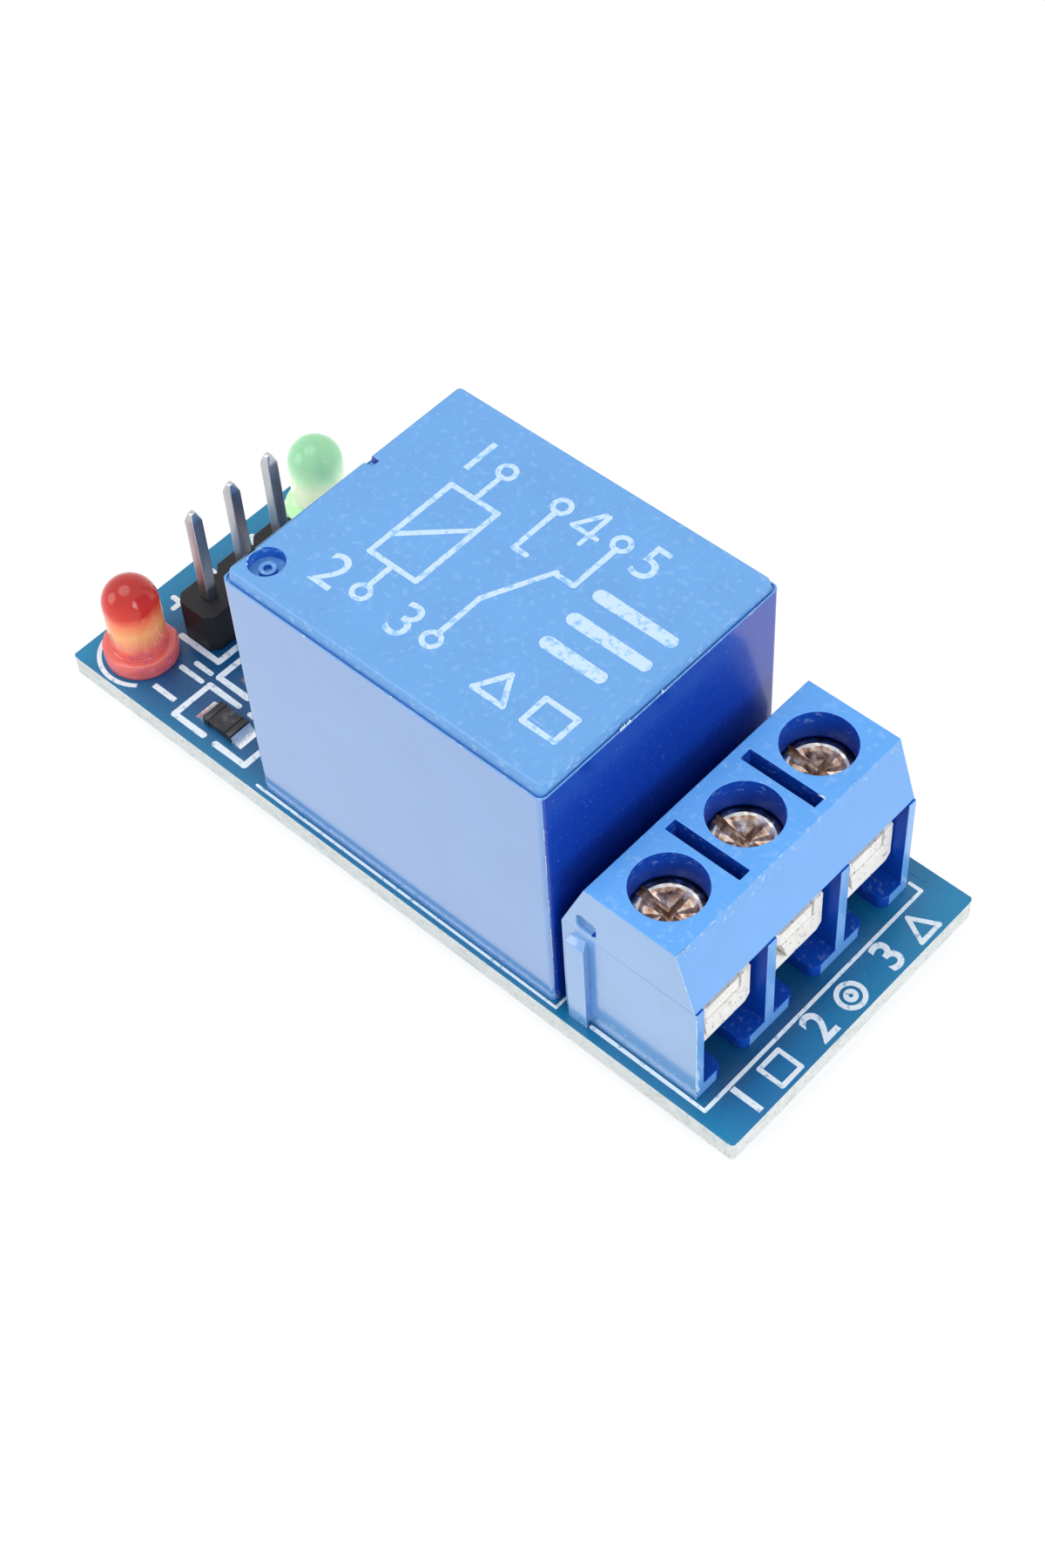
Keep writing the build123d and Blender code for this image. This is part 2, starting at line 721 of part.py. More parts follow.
def wire_clamp(pole_y, reach):
    """Cage that its screw raises: sill below, window for the wire, threaded top."""
    shoulder_low = clamp_low + clamp_shoulder_height
    window_side = pole_y - window_width / 2
    sill_top = clamp_low + clamp_sill
    with BuildPart() as clamp:
        with BuildSketch(side_view(pole_y)):
            with BuildLine():
                Polyline(
                    (clamp_back, clamp_low),
                    (clamp_front, clamp_low),
                    (clamp_front, shoulder_low),
                    (clamp_front - clamp_shoulder, shoulder_low + clamp_shoulder / 2),
                    (clamp_front - clamp_shoulder, clamp_high),
                    (clamp_back, clamp_high),
                    close=True,
                )
            make_face()
        extrude(amount=clamp_width / 2, both=True)
        chamfer(clamp.edges().filter_by(Axis.X).group_by(Axis.Z)[0], clamp_corner)
        with BuildSketch(end_view(clamp_front)):
            with Locations((pole_y, sill_top)):
                Rectangle(
                    window_width,
                    clamp_high - clamp_top - sill_top,
                    align=(Align.CENTER, Align.MIN),
                )
        extrude(amount=clamp_back - clamp_front, mode=Mode.SUBTRACT)
        with BuildSketch(Plane.XY.offset(clamp_high)):
            with Locations((screw_x, pole_y)):
                Circle(screw_radius + thread_clearance)
        extrude(amount=-clamp_top, mode=Mode.SUBTRACT)
        with BuildSketch(end_view(clamp_front)):
            with BuildLine():
                Polyline(
                    (window_side, sill_top),
                    (window_side + reach / 2, sill_top),
                    (window_side + reach, clamp_low + joint_foot),
                    (window_side, sill_top - joint_heel),
                    close=True,
                )
            make_face()
        extrude(amount=-joint_depth, mode=Mode.SUBTRACT)
    return clamp


def contact_bar(pole_y):
    """Bent strip: tongue through the clamp, leg down the back wall, solder tail."""
    leg_low = board_top + terminal_floor
    tongue_end = clamp_front - bar_fit
    with BuildPart() as bar:
        with BuildSketch(side_view(pole_y)):
            with BuildLine():
                Polyline(
                    (bar_back, leg_low),
                    (bar_back + bar_thickness, leg_low),
                    (bar_back + bar_thickness, bar_bottom),
                    (tongue_end, bar_bottom),
                    (tongue_end, bar_top),
                    (bar_back, bar_top),
                    close=True,
                )
            make_face()
        extrude(amount=bar_width / 2, both=True)
        fillet(bar.edges().filter_by(Axis.Y).group_by(Axis.Z)[-1].sort_by(Axis.X)[0], bar_bend)
        tip_edges = bar.edges().filter_by(Axis.Z).group_by(Axis.X)[-1]
        chamfer(tip_edges.sort_by(Axis.Y)[0], bar_tip_corner)
        with BuildSketch():
            with Locations((tail_x, pole_y)):
                Rectangle(bar_thickness, solder_tail_width)
        extrude(amount=leg_low)
    return bar


for i, pole_y in enumerate(pole_places):
    keep(clamp_screw(pole_y), f"terminal_screw_{i + 1}")
    keep(wire_clamp(pole_y, joint_reach[i]), f"wire_clamp_{i + 1}")
    keep(contact_bar(pole_y), f"contact_bar_{i + 1}")

# Header housing: one moulded strip, notched between its cells
with BuildPart() as header_housing:
    with BuildSketch(Plane.XY.offset(board_top)):
        with Locations((header_x, header_y)):
            Rectangle(header_pitch, header_length)
            with GridLocations(header_pitch, header_pitch, 2, header_pins + 1):
                Rectangle(
                    hypot(header_notch, header_notch),
                    hypot(header_notch, header_notch),
                    rotation=45,
                    mode=Mode.SUBTRACT,
                )
        with Locations(*[(header_x, y) for y in header_places]):
            Rectangle(pin_side, pin_side, mode=Mode.SUBTRACT)
    extrude(amount=header_height)
keep(header_housing, "header_housing")


def header_pin(pin_y):
    """Square wire, its upper end drawn in to a blunt point."""
    taper_low = board_top + pin_top - pin_taper
    with BuildPart() as pin:
        with BuildSketch():
            with Locations((header_x, pin_y)):
                Rectangle(pin_side, pin_side)
        extrude(amount=taper_low)
        with BuildSketch(Plane.XY.offset(taper_low)):
            with Locations((header_x, pin_y)):
                Rectangle(pin_side, pin_side)
        with BuildSketch(Plane.XY.offset(board_top + pin_top)):
            with Locations((header_x, pin_y)):
                Rectangle(pin_tip_side, pin_tip_side)
        loft()
    return pin


for i, pin_y in enumerate(header_places):
    keep(header_pin(pin_y), f"header_pin_{i + 1}")


def lamp_lead(place, side, post_width):
    """One half of a lamp's frame: a lead that turns in above the board to its post."""
    x, y = place
    lead_outer = y + side * (lamp_lead_pitch + lamp_lead_side) / 2
    lead_inner = lead_outer - side * lamp_lead_side
    post_inner = y + side * lamp_post_gap / 2
    post_outer = post_inner + side * post_width
    bend = board_top + lamp_lead_bend
    top = board_top + lamp_post_height
    with BuildPart() as lead:
        with BuildSketch(end_view(x)):
            with BuildLine():
                Polyline(
                    (lead_outer, 0),
                    (lead_outer, bend),
                    (post_outer, bend + lamp_lead_side),
                    (post_outer, top),
                    (post_inner, top),
                    (post_inner, bend),
                    (lead_inner, bend - lamp_lead_side),
                    (lead_inner, 0),
                    close=True,
                )
            make_face()
        extrude(amount=lamp_lead_side / 2, both=True)
    return lead


def lamp_lens(place, leads):
    """Moulded dome on a flange with one flat, cast round its frame."""
    x, y = place
    shoulder = board_top + lamp_flange_height
    dome = board_top + lamp_height - lamp_radius
    with BuildPart() as lens:
        with BuildSketch(side_view(y)):
            with BuildLine():
                Polyline(
                    (x, dome + lamp_radius),
                    (x, board_top),
                    (x + lamp_flange_radius, board_top),
                    (x + lamp_flange_radius, shoulder),
                    (x + lamp_radius, shoulder),
                    (x + lamp_radius, dome),
                )
                CenterArc((x, dome), lamp_radius, 0, 90)
            make_face()
        revolve(axis=Axis((x, y, 0), (0, 0, 1)))
        with BuildSketch(Plane.XY.offset(board_top)):
            with Locations((x, y + lamp_flange_radius)):
                Rectangle(2 * lamp_flange_radius, lamp_flat, align=(Align.CENTER, Align.MAX))
        extrude(amount=lamp_flange_height, mode=Mode.SUBTRACT)
        for lead in leads:
            add(lead.part, mode=Mode.SUBTRACT)
    return lens


for colour, place in (("red", red_lamp), ("green", green_lamp)):
    anode = lamp_lead(place, -1, anode_post_width)
    cathode = lamp_lead(place, 1, cathode_post_width)
    keep(lamp_lens(place, (anode, cathode)), f"{colour}_lamp_lens")
    keep(anode, f"{colour}_lamp_anode")
    keep(cathode, f"{colour}_lamp_cathode")


def chip_resistor(chip_y):
    """Ceramic block with end caps that stand a little proud of it."""
    with BuildPart() as chip:
        with BuildSketch(Plane.XY.offset(board_top)):
            with Locations((chip_x, chip_y)):
                Rectangle(chip_length, chip_width)
        extrude(amount=chip_height)
        with BuildSketch(Plane.XY.offset(board_top)):
            with Locations((chip_x, chip_y)):
                with GridLocations(chip_length - chip_cap_length, 0, 2, 1):
                    Rectangle(chip_cap_length, chip_width + 2 * chip_cap_proud)
        extrude(amount=chip_height + chip_cap_proud)
    return chip


for i, chip_y in enumerate(resistor_places):
    keep(chip_resistor(chip_y), f"resistor_{i + 1}")

# Diode: a glass tube lying between two metal caps
diode_axis_z = board_top + diode_radius
diode_half = diode_length / 2
glass_half = diode_half - diode_cap_length
glass_radius = diode_radius - diode_neck
with BuildPart() as flyback_diode:
    with BuildSketch(side_view(diode_y)):
        with Locations((chip_x, diode_axis_z)):
            Rectangle(diode_length, glass_radius, align=(Align.CENTER, Align.MIN))
            with Locations((-diode_half, 0), (glass_half, 0)):
                Rectangle(diode_cap_length, diode_radius, align=(Align.MIN, Align.MIN))
    revolve(axis=Axis((0, diode_y, diode_axis_z), (1, 0, 0)))
keep(flyback_diode, "flyback_diode")

# Transistor: a drafted body on three bent legs
body_middle = board_top + transistor_lift + transistor_height / 2
leg_start = transistor_width / 2 - leg_thickness
leg_end = transistor_width / 2 + leg_reach
leg_knee = leg_end - leg_foot
transistor_legs = (
    (1, transistor_y - leg_pitch / 2),
    (1, transistor_y + leg_pitch / 2),
    (-1, transistor_y),
)
with BuildPart() as driver_transistor:
    for direction in (1, -1):
        with BuildSketch(Plane.XY.offset(body_middle)):
            with Locations((chip_x, transistor_y)):
                Rectangle(transistor_width, transistor_length)
        extrude(amount=direction * transistor_height / 2, taper=transistor_draft)
    for side, leg_y in transistor_legs:
        with BuildSketch(side_view(leg_y)):
            with BuildLine():
                Polyline(
                    (chip_x + side * leg_start, body_middle + leg_thickness / 2),
                    (chip_x + side * leg_knee, body_middle + leg_thickness / 2),
                    (chip_x + side * (leg_knee + leg_thickness), board_top + leg_thickness),
                    (chip_x + side * leg_end, board_top + leg_thickness),
                    (chip_x + side * leg_end, board_top),
                    (chip_x + side * leg_knee, board_top),
                    (chip_x + side * (leg_knee - leg_thickness), body_middle - leg_thickness / 2),
                    (chip_x + side * leg_start, body_middle - leg_thickness / 2),
                    close=True,
                )
            make_face()
        extrude(amount=leg_width / 2, both=True)
keep(driver_transistor, "driver_transistor")

# Solder at the ends of the chips and legs: hollow-faced wedges that climb from the board
chip_ends = [
    (chip_x + side * length / 2, y, side, chip_width, fillet_length, fillet_height)
    for length, y in [(chip_length, y) for y in resistor_places] + [(diode_length, diode_y)]
    for side in (-1, 1)
]
leg_ends = [
    (chip_x + side * leg_end, y, side, leg_width, leg_fillet_length, leg_fillet_height)
    for side, y in transistor_legs
]
with BuildPart() as chip_solder:
    for end_x, end_y, side, width, length, height in chip_ends + leg_ends:
        with BuildSketch(side_view(end_y)):
            with BuildLine():
                Polyline(
                    (end_x, board_top + height),
                    (end_x, board_top),
                    (end_x + side * length, board_top),
                )
                ThreePointArc(
                    (end_x + side * length, board_top),
                    (end_x + side * length * fillet_hollow, board_top + height * fillet_hollow),
                    (end_x, board_top + height),
                )
            make_face()
        extrude(amount=width / 2, both=True)
keep(chip_solder, "chip_solder")
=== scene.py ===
import json
import math
import random
from itertools import count
import bmesh
import bpy
from mathutils import Matrix, Quaternion, Vector


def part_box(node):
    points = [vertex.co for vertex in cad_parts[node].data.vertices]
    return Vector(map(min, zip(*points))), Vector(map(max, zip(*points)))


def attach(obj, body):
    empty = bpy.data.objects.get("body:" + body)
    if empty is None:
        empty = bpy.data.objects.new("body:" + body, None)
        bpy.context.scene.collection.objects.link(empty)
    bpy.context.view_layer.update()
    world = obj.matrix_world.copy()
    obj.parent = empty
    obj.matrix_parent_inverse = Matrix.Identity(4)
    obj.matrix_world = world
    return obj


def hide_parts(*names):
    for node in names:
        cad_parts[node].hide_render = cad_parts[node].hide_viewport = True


# Relay module board: the finish of every piece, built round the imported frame. Sizes are in mm.
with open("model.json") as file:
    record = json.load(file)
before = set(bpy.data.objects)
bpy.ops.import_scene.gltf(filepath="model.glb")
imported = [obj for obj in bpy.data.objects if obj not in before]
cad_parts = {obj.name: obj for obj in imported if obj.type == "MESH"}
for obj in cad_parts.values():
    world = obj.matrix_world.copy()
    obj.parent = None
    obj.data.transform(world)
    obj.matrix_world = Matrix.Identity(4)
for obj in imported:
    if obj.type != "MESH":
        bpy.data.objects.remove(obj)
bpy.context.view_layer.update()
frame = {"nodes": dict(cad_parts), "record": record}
nodes = frame["nodes"]
record = frame["record"]
bodyOf = {node: body for body, members in record["behaviour"]["bodies"].items() for node in members}
slotOf = {part["node"]: part["material_slot"] for part in record["subparts"]}
mm = 0.001
degree = math.radians(1)
print("frame loaded:", len(nodes), "nodes")


def low(node):
    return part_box(node)[0] / mm


def high(node):
    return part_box(node)[1] / mm


def middle(node):
    return (low(node) + high(node)) / 2


boardTop, boardLow = high("circuit_board").z, low("circuit_board").z
caseLow, caseHigh = low("relay_case"), high("relay_case")


# Shader maths
class Link:  # a node's output that can stand in a sum
    def __init__(self, graph, socket):
        self.graph = graph
        self.socket = socket

    def math(self, operation, *values):
        return self.graph.node("ShaderNodeMath", dict(enumerate(values)), operation=operation)

    def __add__(self, other):
        return self.math("ADD", self, other)

    def __radd__(self, other):
        return self.math("ADD", other, self)

    def __sub__(self, other):
        return self.math("SUBTRACT", self, other)

    def __mul__(self, other):
        return self.math("MULTIPLY", self, other)

    def __rmul__(self, other):
        return self.math("MULTIPLY", other, self)


class Graph:  # makes the nodes of one material or world
    def __init__(self, tree):
        self.tree = tree

    def node(self, kind, inputs={}, output=0, **settings):
        made = self.tree.nodes.new(kind)
        for key, value in settings.items():
            setattr(made, key, value)
        for key, value in inputs.items():
            self.feed(made.inputs[key], value)
        return Link(self, made.outputs[output])

    def feed(self, socket, value):
        if isinstance(value, Link):
            self.tree.links.new(value.socket, socket)
        elif socket.type == "RGBA" and len(value) == 3:
            socket.default_value = (*value, 1)
        else:
            socket.default_value = value

    def ramp(self, stops, value):  # stops are positions with their colours
        made = self.node("ShaderNodeValToRGB", {0: value})
        elements = made.socket.node.color_ramp.elements
        while len(elements) < len(stops):
            elements.new(0.5)
        for stop, (position, colour) in zip(elements, stops):
            stop.position = position
            stop.color = (*colour, 1)
        return made


class Finish(Graph):  # a material: uniform values go straight on the shader, patterns through put
    def __init__(self, name, colour, roughness, uniform=None):
        self.material = bpy.data.materials.new(name)
        self.material.use_nodes = True
        super().__init__(self.material.node_tree)
        self.shader = self.tree.nodes["Principled BSDF"]
        self.place = self.node("ShaderNodeTexCoord", output="Object")
        for socket, value in {"Base Color": colour, "Roughness": roughness, **(uniform or {})}.items():
            self.put(socket, value)

    def put(self, socket, value):
        self.feed(self.shader.inputs[socket], value)

    def noise(self, size, stretch=(1, 1, 1), detail=3.0, shift=0.0):
        spot = self.node("ShaderNodeMapping", {
            "Vector": self.place, "Location": (shift, shift, shift), "Scale": stretch})
        return self.node("ShaderNodeTexNoise", {
            "Vector": spot, "Scale": 1 / (size * mm), "Detail": detail}, "Fac")

    def span(self, value, start, end):  # 0 at start, 1 at end, clamped
        return self.node("ShaderNodeMapRange", {"Value": value, "From Min": start, "From Max": end})

    def spots(self, size, levels, *shape, **more):  # noise above a level
        return self.span(self.noise(size, *shape, **more), *levels)

    def fade(self, value, ends):  # 0 at the first place, 1 at the second
        return self.span(value, ends[0] * mm, ends[1] * mm)

    def within(self, axis, start, end, edge):  # 1 from start to end, fading out over the edge
        return self.fade(self.along(axis), (start - edge, start)) * self.fade(
            self.along(axis), (end + edge, end))

    def blend(self, share, first, second):
        return self.node("ShaderNodeMix", {0: share, 6: first, 7: second}, 2, data_type="RGBA")

    def along(self, axis):
        return self.node("ShaderNodeSeparateXYZ", {0: self.place}, axis)

    def bump(self, height, depth):
        self.put("Normal", self.node("ShaderNodeBump", {"Height": height, "Distance": depth * mm}))


def shade(colour, factor):
    return tuple(min(1.0, part * factor) for part in colour)


# Moulded plastics, as copies of one blue picked by face: outer walls paler as painted reflection, walls in
# shade and pockets darker as painted shade
def mouldedBlue(name, look):
    colour, pale = look["colour"], look["pale"]
    made = Finish(name, colour, look["roughness"], {
        "Coat Weight": look["coat"], "Coat Roughness": 0.12, "Specular IOR Level": look["specular"]})
    cloud = made.noise(look["cloudSize"], detail=5)
    fine = made.noise(0.6, detail=4, shift=7)
    speck = made.spots(0.11, (0.70, 0.75), detail=1, shift=3)
    dirt = made.spots(0.13, (0.745, 0.78), detail=1, shift=21)
    wipe = made.noise(0.9, look["wipeStretch"], detail=2)
    scratch = made.spots(0.9, (0.71, 0.74), look["scratchStretch"], detail=2, shift=8)
    scratch = scratch * made.spots(2.6, (0.55, 0.62), detail=2, shift=14)
    mark = made.within("Z", *look["worn"], 0.25) * made.spots(0.35, (0.56, 0.66), (1, 1, 1.6), 4, 30)
    tone = made.blend(cloud, shade(colour, 0.90), shade(colour, 1.10))
    tone = made.blend(0.25 * fine, tone, shade(colour, 0.86))
    tone = made.blend(look["markShare"] * mark, tone, pale)
    tone = made.blend(look["speckShare"] * speck + look["scratchShare"] * scratch, tone, pale)
    made.put("Base Color", made.blend(look["dirtShare"] * dirt, tone, shade(colour, 0.25)))
    made.put("Roughness", look["roughness"] + 0.1 * (wipe - 0.5) + 0.2 * scratch + 0.15 * mark)
    grain = made.noise(0.22, detail=2)
    made.bump(0.1 * wipe + grain - 0.4 * scratch + 0.5 * mark, look["grainDepth"])
    return made.material


# worn gives the heights between which the plastic is rubbed
coverTopLook = {
    "colour": (0.125, 0.352, 0.735), "pale": (0.52, 0.74, 0.95), "roughness": 0.36, "coat": 0.2,
    "specular": 0.5, "cloudSize": 3.0, "speckShare": 0.10, "dirtShare": 0.25, "wipeStretch": (1, 0.3, 1),
    "scratchStretch": (0.1, 1.6, 1), "scratchShare": 0.28, "worn": (17.3, 17.75), "markShare": 0.3,
    "grainDepth": 0.009}
coverSideLook = dict(
    coverTopLook, colour=(0.12, 0.31, 0.70), roughness=0.2, coat=1.0, specular=0.8, speckShare=0.12,
    dirtShare=0.12, wipeStretch=(1, 1, 0.15), scratchShare=0.1, worn=(2.4, 3.0), grainDepth=0.004)
# painted shade: a darker copy for the +X end wall and the notch
coverEndPaintedShadeLook = dict(
    coverSideLook, colour=(0.003, 0.044, 0.40), roughness=0.28, coat=0.4, specular=0.3,
    speckShare=0.3, scratchShare=0.05)
# painted shade: a darker copy for the vent recess's walls
coverVentPaintedShadeLook = dict(coverTopLook, colour=(0.02, 0.15, 0.60), coat=0.0, specular=0.2)
blockTopLook = dict(
    coverTopLook, colour=(0.10, 0.37, 0.86), cloudSize=2.2, speckShare=0.08, dirtShare=0.2,
    scratchStretch=(1.4, 0.2, 1), worn=(12.35, 12.6), markShare=0.15, grainDepth=0.012)
blockFrontLook = dict(
    blockTopLook, colour=(0.14, 0.38, 0.83), roughness=0.3, coat=0.5, scratchStretch=(1, 0.3, 0.3),
    scratchShare=0.3, worn=(12.1, 12.5), markShare=0.35)
# painted reflection: the side walls' copy is paler and greyer than the top, beside its stronger coat
blockSideLook = dict(
    blockFrontLook, colour=(0.17, 0.385, 0.75), roughness=0.24, coat=1.0, specular=0.8,
    scratchShare=0.2, worn=(2.4, 3.3), markShare=0.3)
# painted shade: a darker copy for the pockets
blockPocketPaintedShadeLook = dict(
    blockTopLook, colour=(0.004, 0.062, 0.45), roughness=0.4, coat=0.0, specular=0.1,
    speckShare=0.06, dirtShare=0.0, worn=(11.9, 12.3), markShare=0.22)
# painted shade: a darker copy for the floor under the cap
blockFloorPaintedShadeLook = dict(blockPocketPaintedShadeLook, colour=(0.004, 0.06, 0.42), worn=(3.1, 3.3), markShare=0.1)
flashLook = dict(blockTopLook, colour=(0.50, 0.72, 0.92), roughness=0.5)


def darkPlastic():
    made = Finish("darkPlastic", (0.01, 0.01, 0.013), 0.5, {"Specular IOR Level": 0.3})
    grain = made.noise(0.12, detail=4)
    made.put("Base Color", made.blend(grain, (0.005, 0.005, 0.007), (0.022, 0.021, 0.026)))
    made.put("Roughness", 0.42 + 0.2 * grain)
    made.bump(grain, 0.012)
    return made.material


def whitePlastic():
    made = Finish("whitePlastic", (0.82, 0.81, 0.76), 0.5)
    made.put("Base Color", made.blend(made.noise(1.5), (0.78, 0.77, 0.70), (0.86, 0.85, 0.82)))
    made.bump(made.noise(0.15), 0.008)
    return made.material


# Metals
def platedMetal(name, stops, roughness, size, stretch=(1, 1, 1), metallic=1.0, pits=0.0, depth=0.01):
    made = Finish(name, stops[-1][1], roughness, {"Metallic": metallic})
    cloud = made.noise(size, stretch, detail=4)
    pit = pits * made.spots(0.17, (0.63, 0.70), shift=5)
    tone = made.ramp(stops, made.span(cloud, 0.28, 0.72))
    made.put("Base Color", made.blend(pit, tone, (0.12, 0.10, 0.07)))
    made.put("Roughness", roughness + 0.16 * (cloud - 0.5) + 0.3 * pit)
    made.bump(made.noise(size * 0.3, stretch) - 2 * pit, depth)
    return made.material


def twoTone(light, dark):
    return [(0.0, dark), (1.0, light)]


passivation = [
    (0.0, (0.07, 0.06, 0.05)), (0.22, (0.36, 0.21, 0.16)), (0.40, (0.26, 0.28, 0.19)),
    (0.55, (0.66, 0.46, 0.42)), (0.70, (0.34, 0.40, 0.44)), (0.86, (0.88, 0.86, 0.80)),
    (1.0, (1.0, 1.0, 0.98))]
tarnish = [
    (0.0, (0.06, 0.04, 0.03)), (0.35, (0.42, 0.25, 0.18)), (0.65, (0.66, 0.50, 0.38)),
    (1.0, (1.0, 0.97, 0.92))]


def windingWire():
    made = Finish("windingWire", (0.6, 0.24, 0.1), 0.3, {"Metallic": 0.9})
    phase = made.along("Z") * (2 * math.pi / (0.12 * mm))
    turns = phase.math("SINE", phase)
    # painted shade and highlight: each turn paler on its crown, darker in the groove between turns
    made.put("Base Color", made.blend(0.5 + 0.5 * turns, (0.35, 0.11, 0.05), (0.72, 0.33, 0.16)))
    made.bump(turns, 0.02)
    return made.material


# Circuit board: teal towards its rims, darker over the middle between them as painted shade of the relay and
# the block
maskLook = {"colour": (0.003, 0.17, 0.42), "deep": (0.001, 0.055, 0.17), "teal": (0.006, 0.225, 0.43),
            "pale": (0.35, 0.55, 0.68), "leftRim": (-18.5, -21.2), "rightRim": (18.6, 24.0),
            "nearRim": (-6.6, -8.5), "leftShade": (-21.2, -19.6), "rightShade": (20.6, 19.3)}


def boardMask():
    made = Finish("boardMask", maskLook["colour"], 0.3)
    cloud = made.noise(5.0, detail=3)
    weave = made.noise(0.35, (1, 1, 0), detail=2, shift=2)
    dust = made.spots(0.12, (0.70, 0.76), detail=2, shift=9)
    across, along = made.along("Y"), made.along("X")
    leftRim = made.fade(along, maskLook["leftRim"])
    rightRim = made.fade(along + across * 0.4, maskLook["rightRim"])
    nearRim = made.fade(across, maskLook["nearRim"]) * 0.7
    rim = leftRim.math("MAXIMUM", leftRim, rightRim)
    rim = rim.math("MAXIMUM", rim, nearRim)
    # painted shade: the board's middle, between its rims, darkened
    inner = made.fade(along, maskLook["rightShade"]) * made.fade(along, maskLook["leftShade"])
    tone = made.blend(cloud, shade(maskLook["colour"], 0.7), maskLook["colour"])
    tone = made.blend(0.8 * inner, tone, maskLook["deep"])
    tone = made.blend(0.8 * rim, tone, maskLook["teal"])
    made.put("Base Color", made.blend(0.4 * dust, tone, maskLook["pale"]))
    made.put("Roughness", 0.24 + 0.12 * weave)
    made.bump(weave + 0.5 * cloud, 0.012)
    return made.material


def laminateEdge():
    made = Finish("laminateEdge", (0.74, 0.79, 0.78), 0.5)
    fibre = made.noise(0.12, (1, 1, 5), detail=3)
    speck = made.spots(0.09, (0.60, 0.70), detail=2, shift=4)
    blot = made.spots(0.9, (0.50, 0.68), (1, 1, 2), detail=3, shift=12)
    tone = made.blend(fibre, (0.66, 0.73, 0.72), (0.90, 0.93, 0.92))
    tone = made.blend(0.4 * blot, tone, (0.50, 0.57, 0.55))
    made.put("Base Color", made.blend(0.4 * speck, tone, (0.40, 0.45, 0.44)))
    made.bump(fibre + speck, 0.03)
    return made.material


def printInk(name, colour, under, wear):
    made = Finish(name, colour, 0.5)
    patch = made.spots(0.30, (0.56 - wear, 0.70 - wear), detail=4, shift=6)
    fine = made.spots(0.10, (0.55, 0.7), detail=2)
    made.put("Base Color", made.blend(0.7 * patch + 0.15 * fine, colour, under))
    made.bump(fine, 0.006)
    return made.material


# Lamps and small parts; bands are the epoxy's tones from the board up to the lamp's top, their bright middle
# band painted light gathered in the epoxy, and the unlit lamps glow in these tones as painted light
lampTall = 5.3


def lampEpoxy(name, look):
    made = Finish(name, look["body"], 0.12, {
        "Transmission Weight": look["clear"], "IOR": 1.5, "Subsurface Weight": look["haze"],
        "Subsurface Radius": (1.0, 0.7, 0.6), "Subsurface Scale": 2.0 * mm, "Emission Strength": look["glow"],
        "Coat Weight": 0.35, "Coat Roughness": 0.03, "Specular IOR Level": 0.25})
    uneven = made.along("Z") + 0.7 * mm * (made.noise(1.6) - 0.5)
    height = made.fade(uneven, (boardTop, boardTop + lampTall))
    blot = made.spots(0.7, (0.56, 0.68), (1, 1, 1.4), detail=2, shift=17)
    foot = made.span(height, 0.5, 0.2)
    tone = made.blend(0.55 * blot * foot, made.ramp(look["bands"], height), look["blot"])
    made.put("Base Color", tone)
    # painted light: the unlit epoxy glows in its band tones
    made.put("Emission Color", tone)
    made.bump(made.noise(0.5), 0.01)
    return made.material


# the brightest middle band of each lamp is painted light gathered in the epoxy
redLook = {
    "body": (0.8, 0.1, 0.06), "clear": 0.25, "haze": 0.6, "glow": 0.2, "blot": (0.50, 0.10, 0.24),
    "bands": [(0.0, (0.66, 0.12, 0.14)), (0.28, (0.88, 0.17, 0.13)), (0.50, (1.0, 0.46, 0.18)),
              (0.64, (0.98, 0.26, 0.10)), (0.76, (0.66, 0.035, 0.02)), (1.0, (0.42, 0.014, 0.012))]}
greenLook = {
    "body": (0.5, 0.8, 0.5), "clear": 0.1, "haze": 0.6, "glow": 0.34, "blot": (0.34, 0.68, 0.36),
    "bands": [(0.0, (0.34, 0.70, 0.34)), (0.20, (0.48, 0.84, 0.44)), (0.36, (0.84, 1.0, 0.68)),
              (0.56, (0.86, 1.0, 0.68)), (0.70, (0.52, 0.84, 0.54)), (0.84, (0.30, 0.60, 0.36)),
              (1.0, (0.24, 0.52, 0.31))]}


def chipCoating():
    made = Finish("chipCoating", (0.02, 0.02, 0.024), 0.32)
    # painted sheen: lighter grey patches on the coating
    paintedSheen = made.spots(0.7, (0.5, 0.7))
    made.put("Base Color", made.blend(paintedSheen, (0.012, 0.012, 0.016), (0.12, 0.12, 0.14)))
    made.bump(made.noise(0.1), 0.006)
    return made.material


def diodeGlass():  # with a dark band towards one end
    glass = (0.75, 0.30, 0.12)
    made = Finish("diodeGlass", glass, 0.08, {"Transmission Weight": 0.6, "IOR": 1.5, "Coat Weight": 0.5})
    left, length = low("flyback_diode").x, high("flyback_diode").x - low("flyback_diode").x
    band = made.within("X", left + 0.63 * length, left + 0.73 * length, 0.01 * length)
    made.put("Base Color", made.blend(band, glass, (0.02, 0.02, 0.02)))
    made.bump(made.noise(0.4), 0.006)
    return made.material


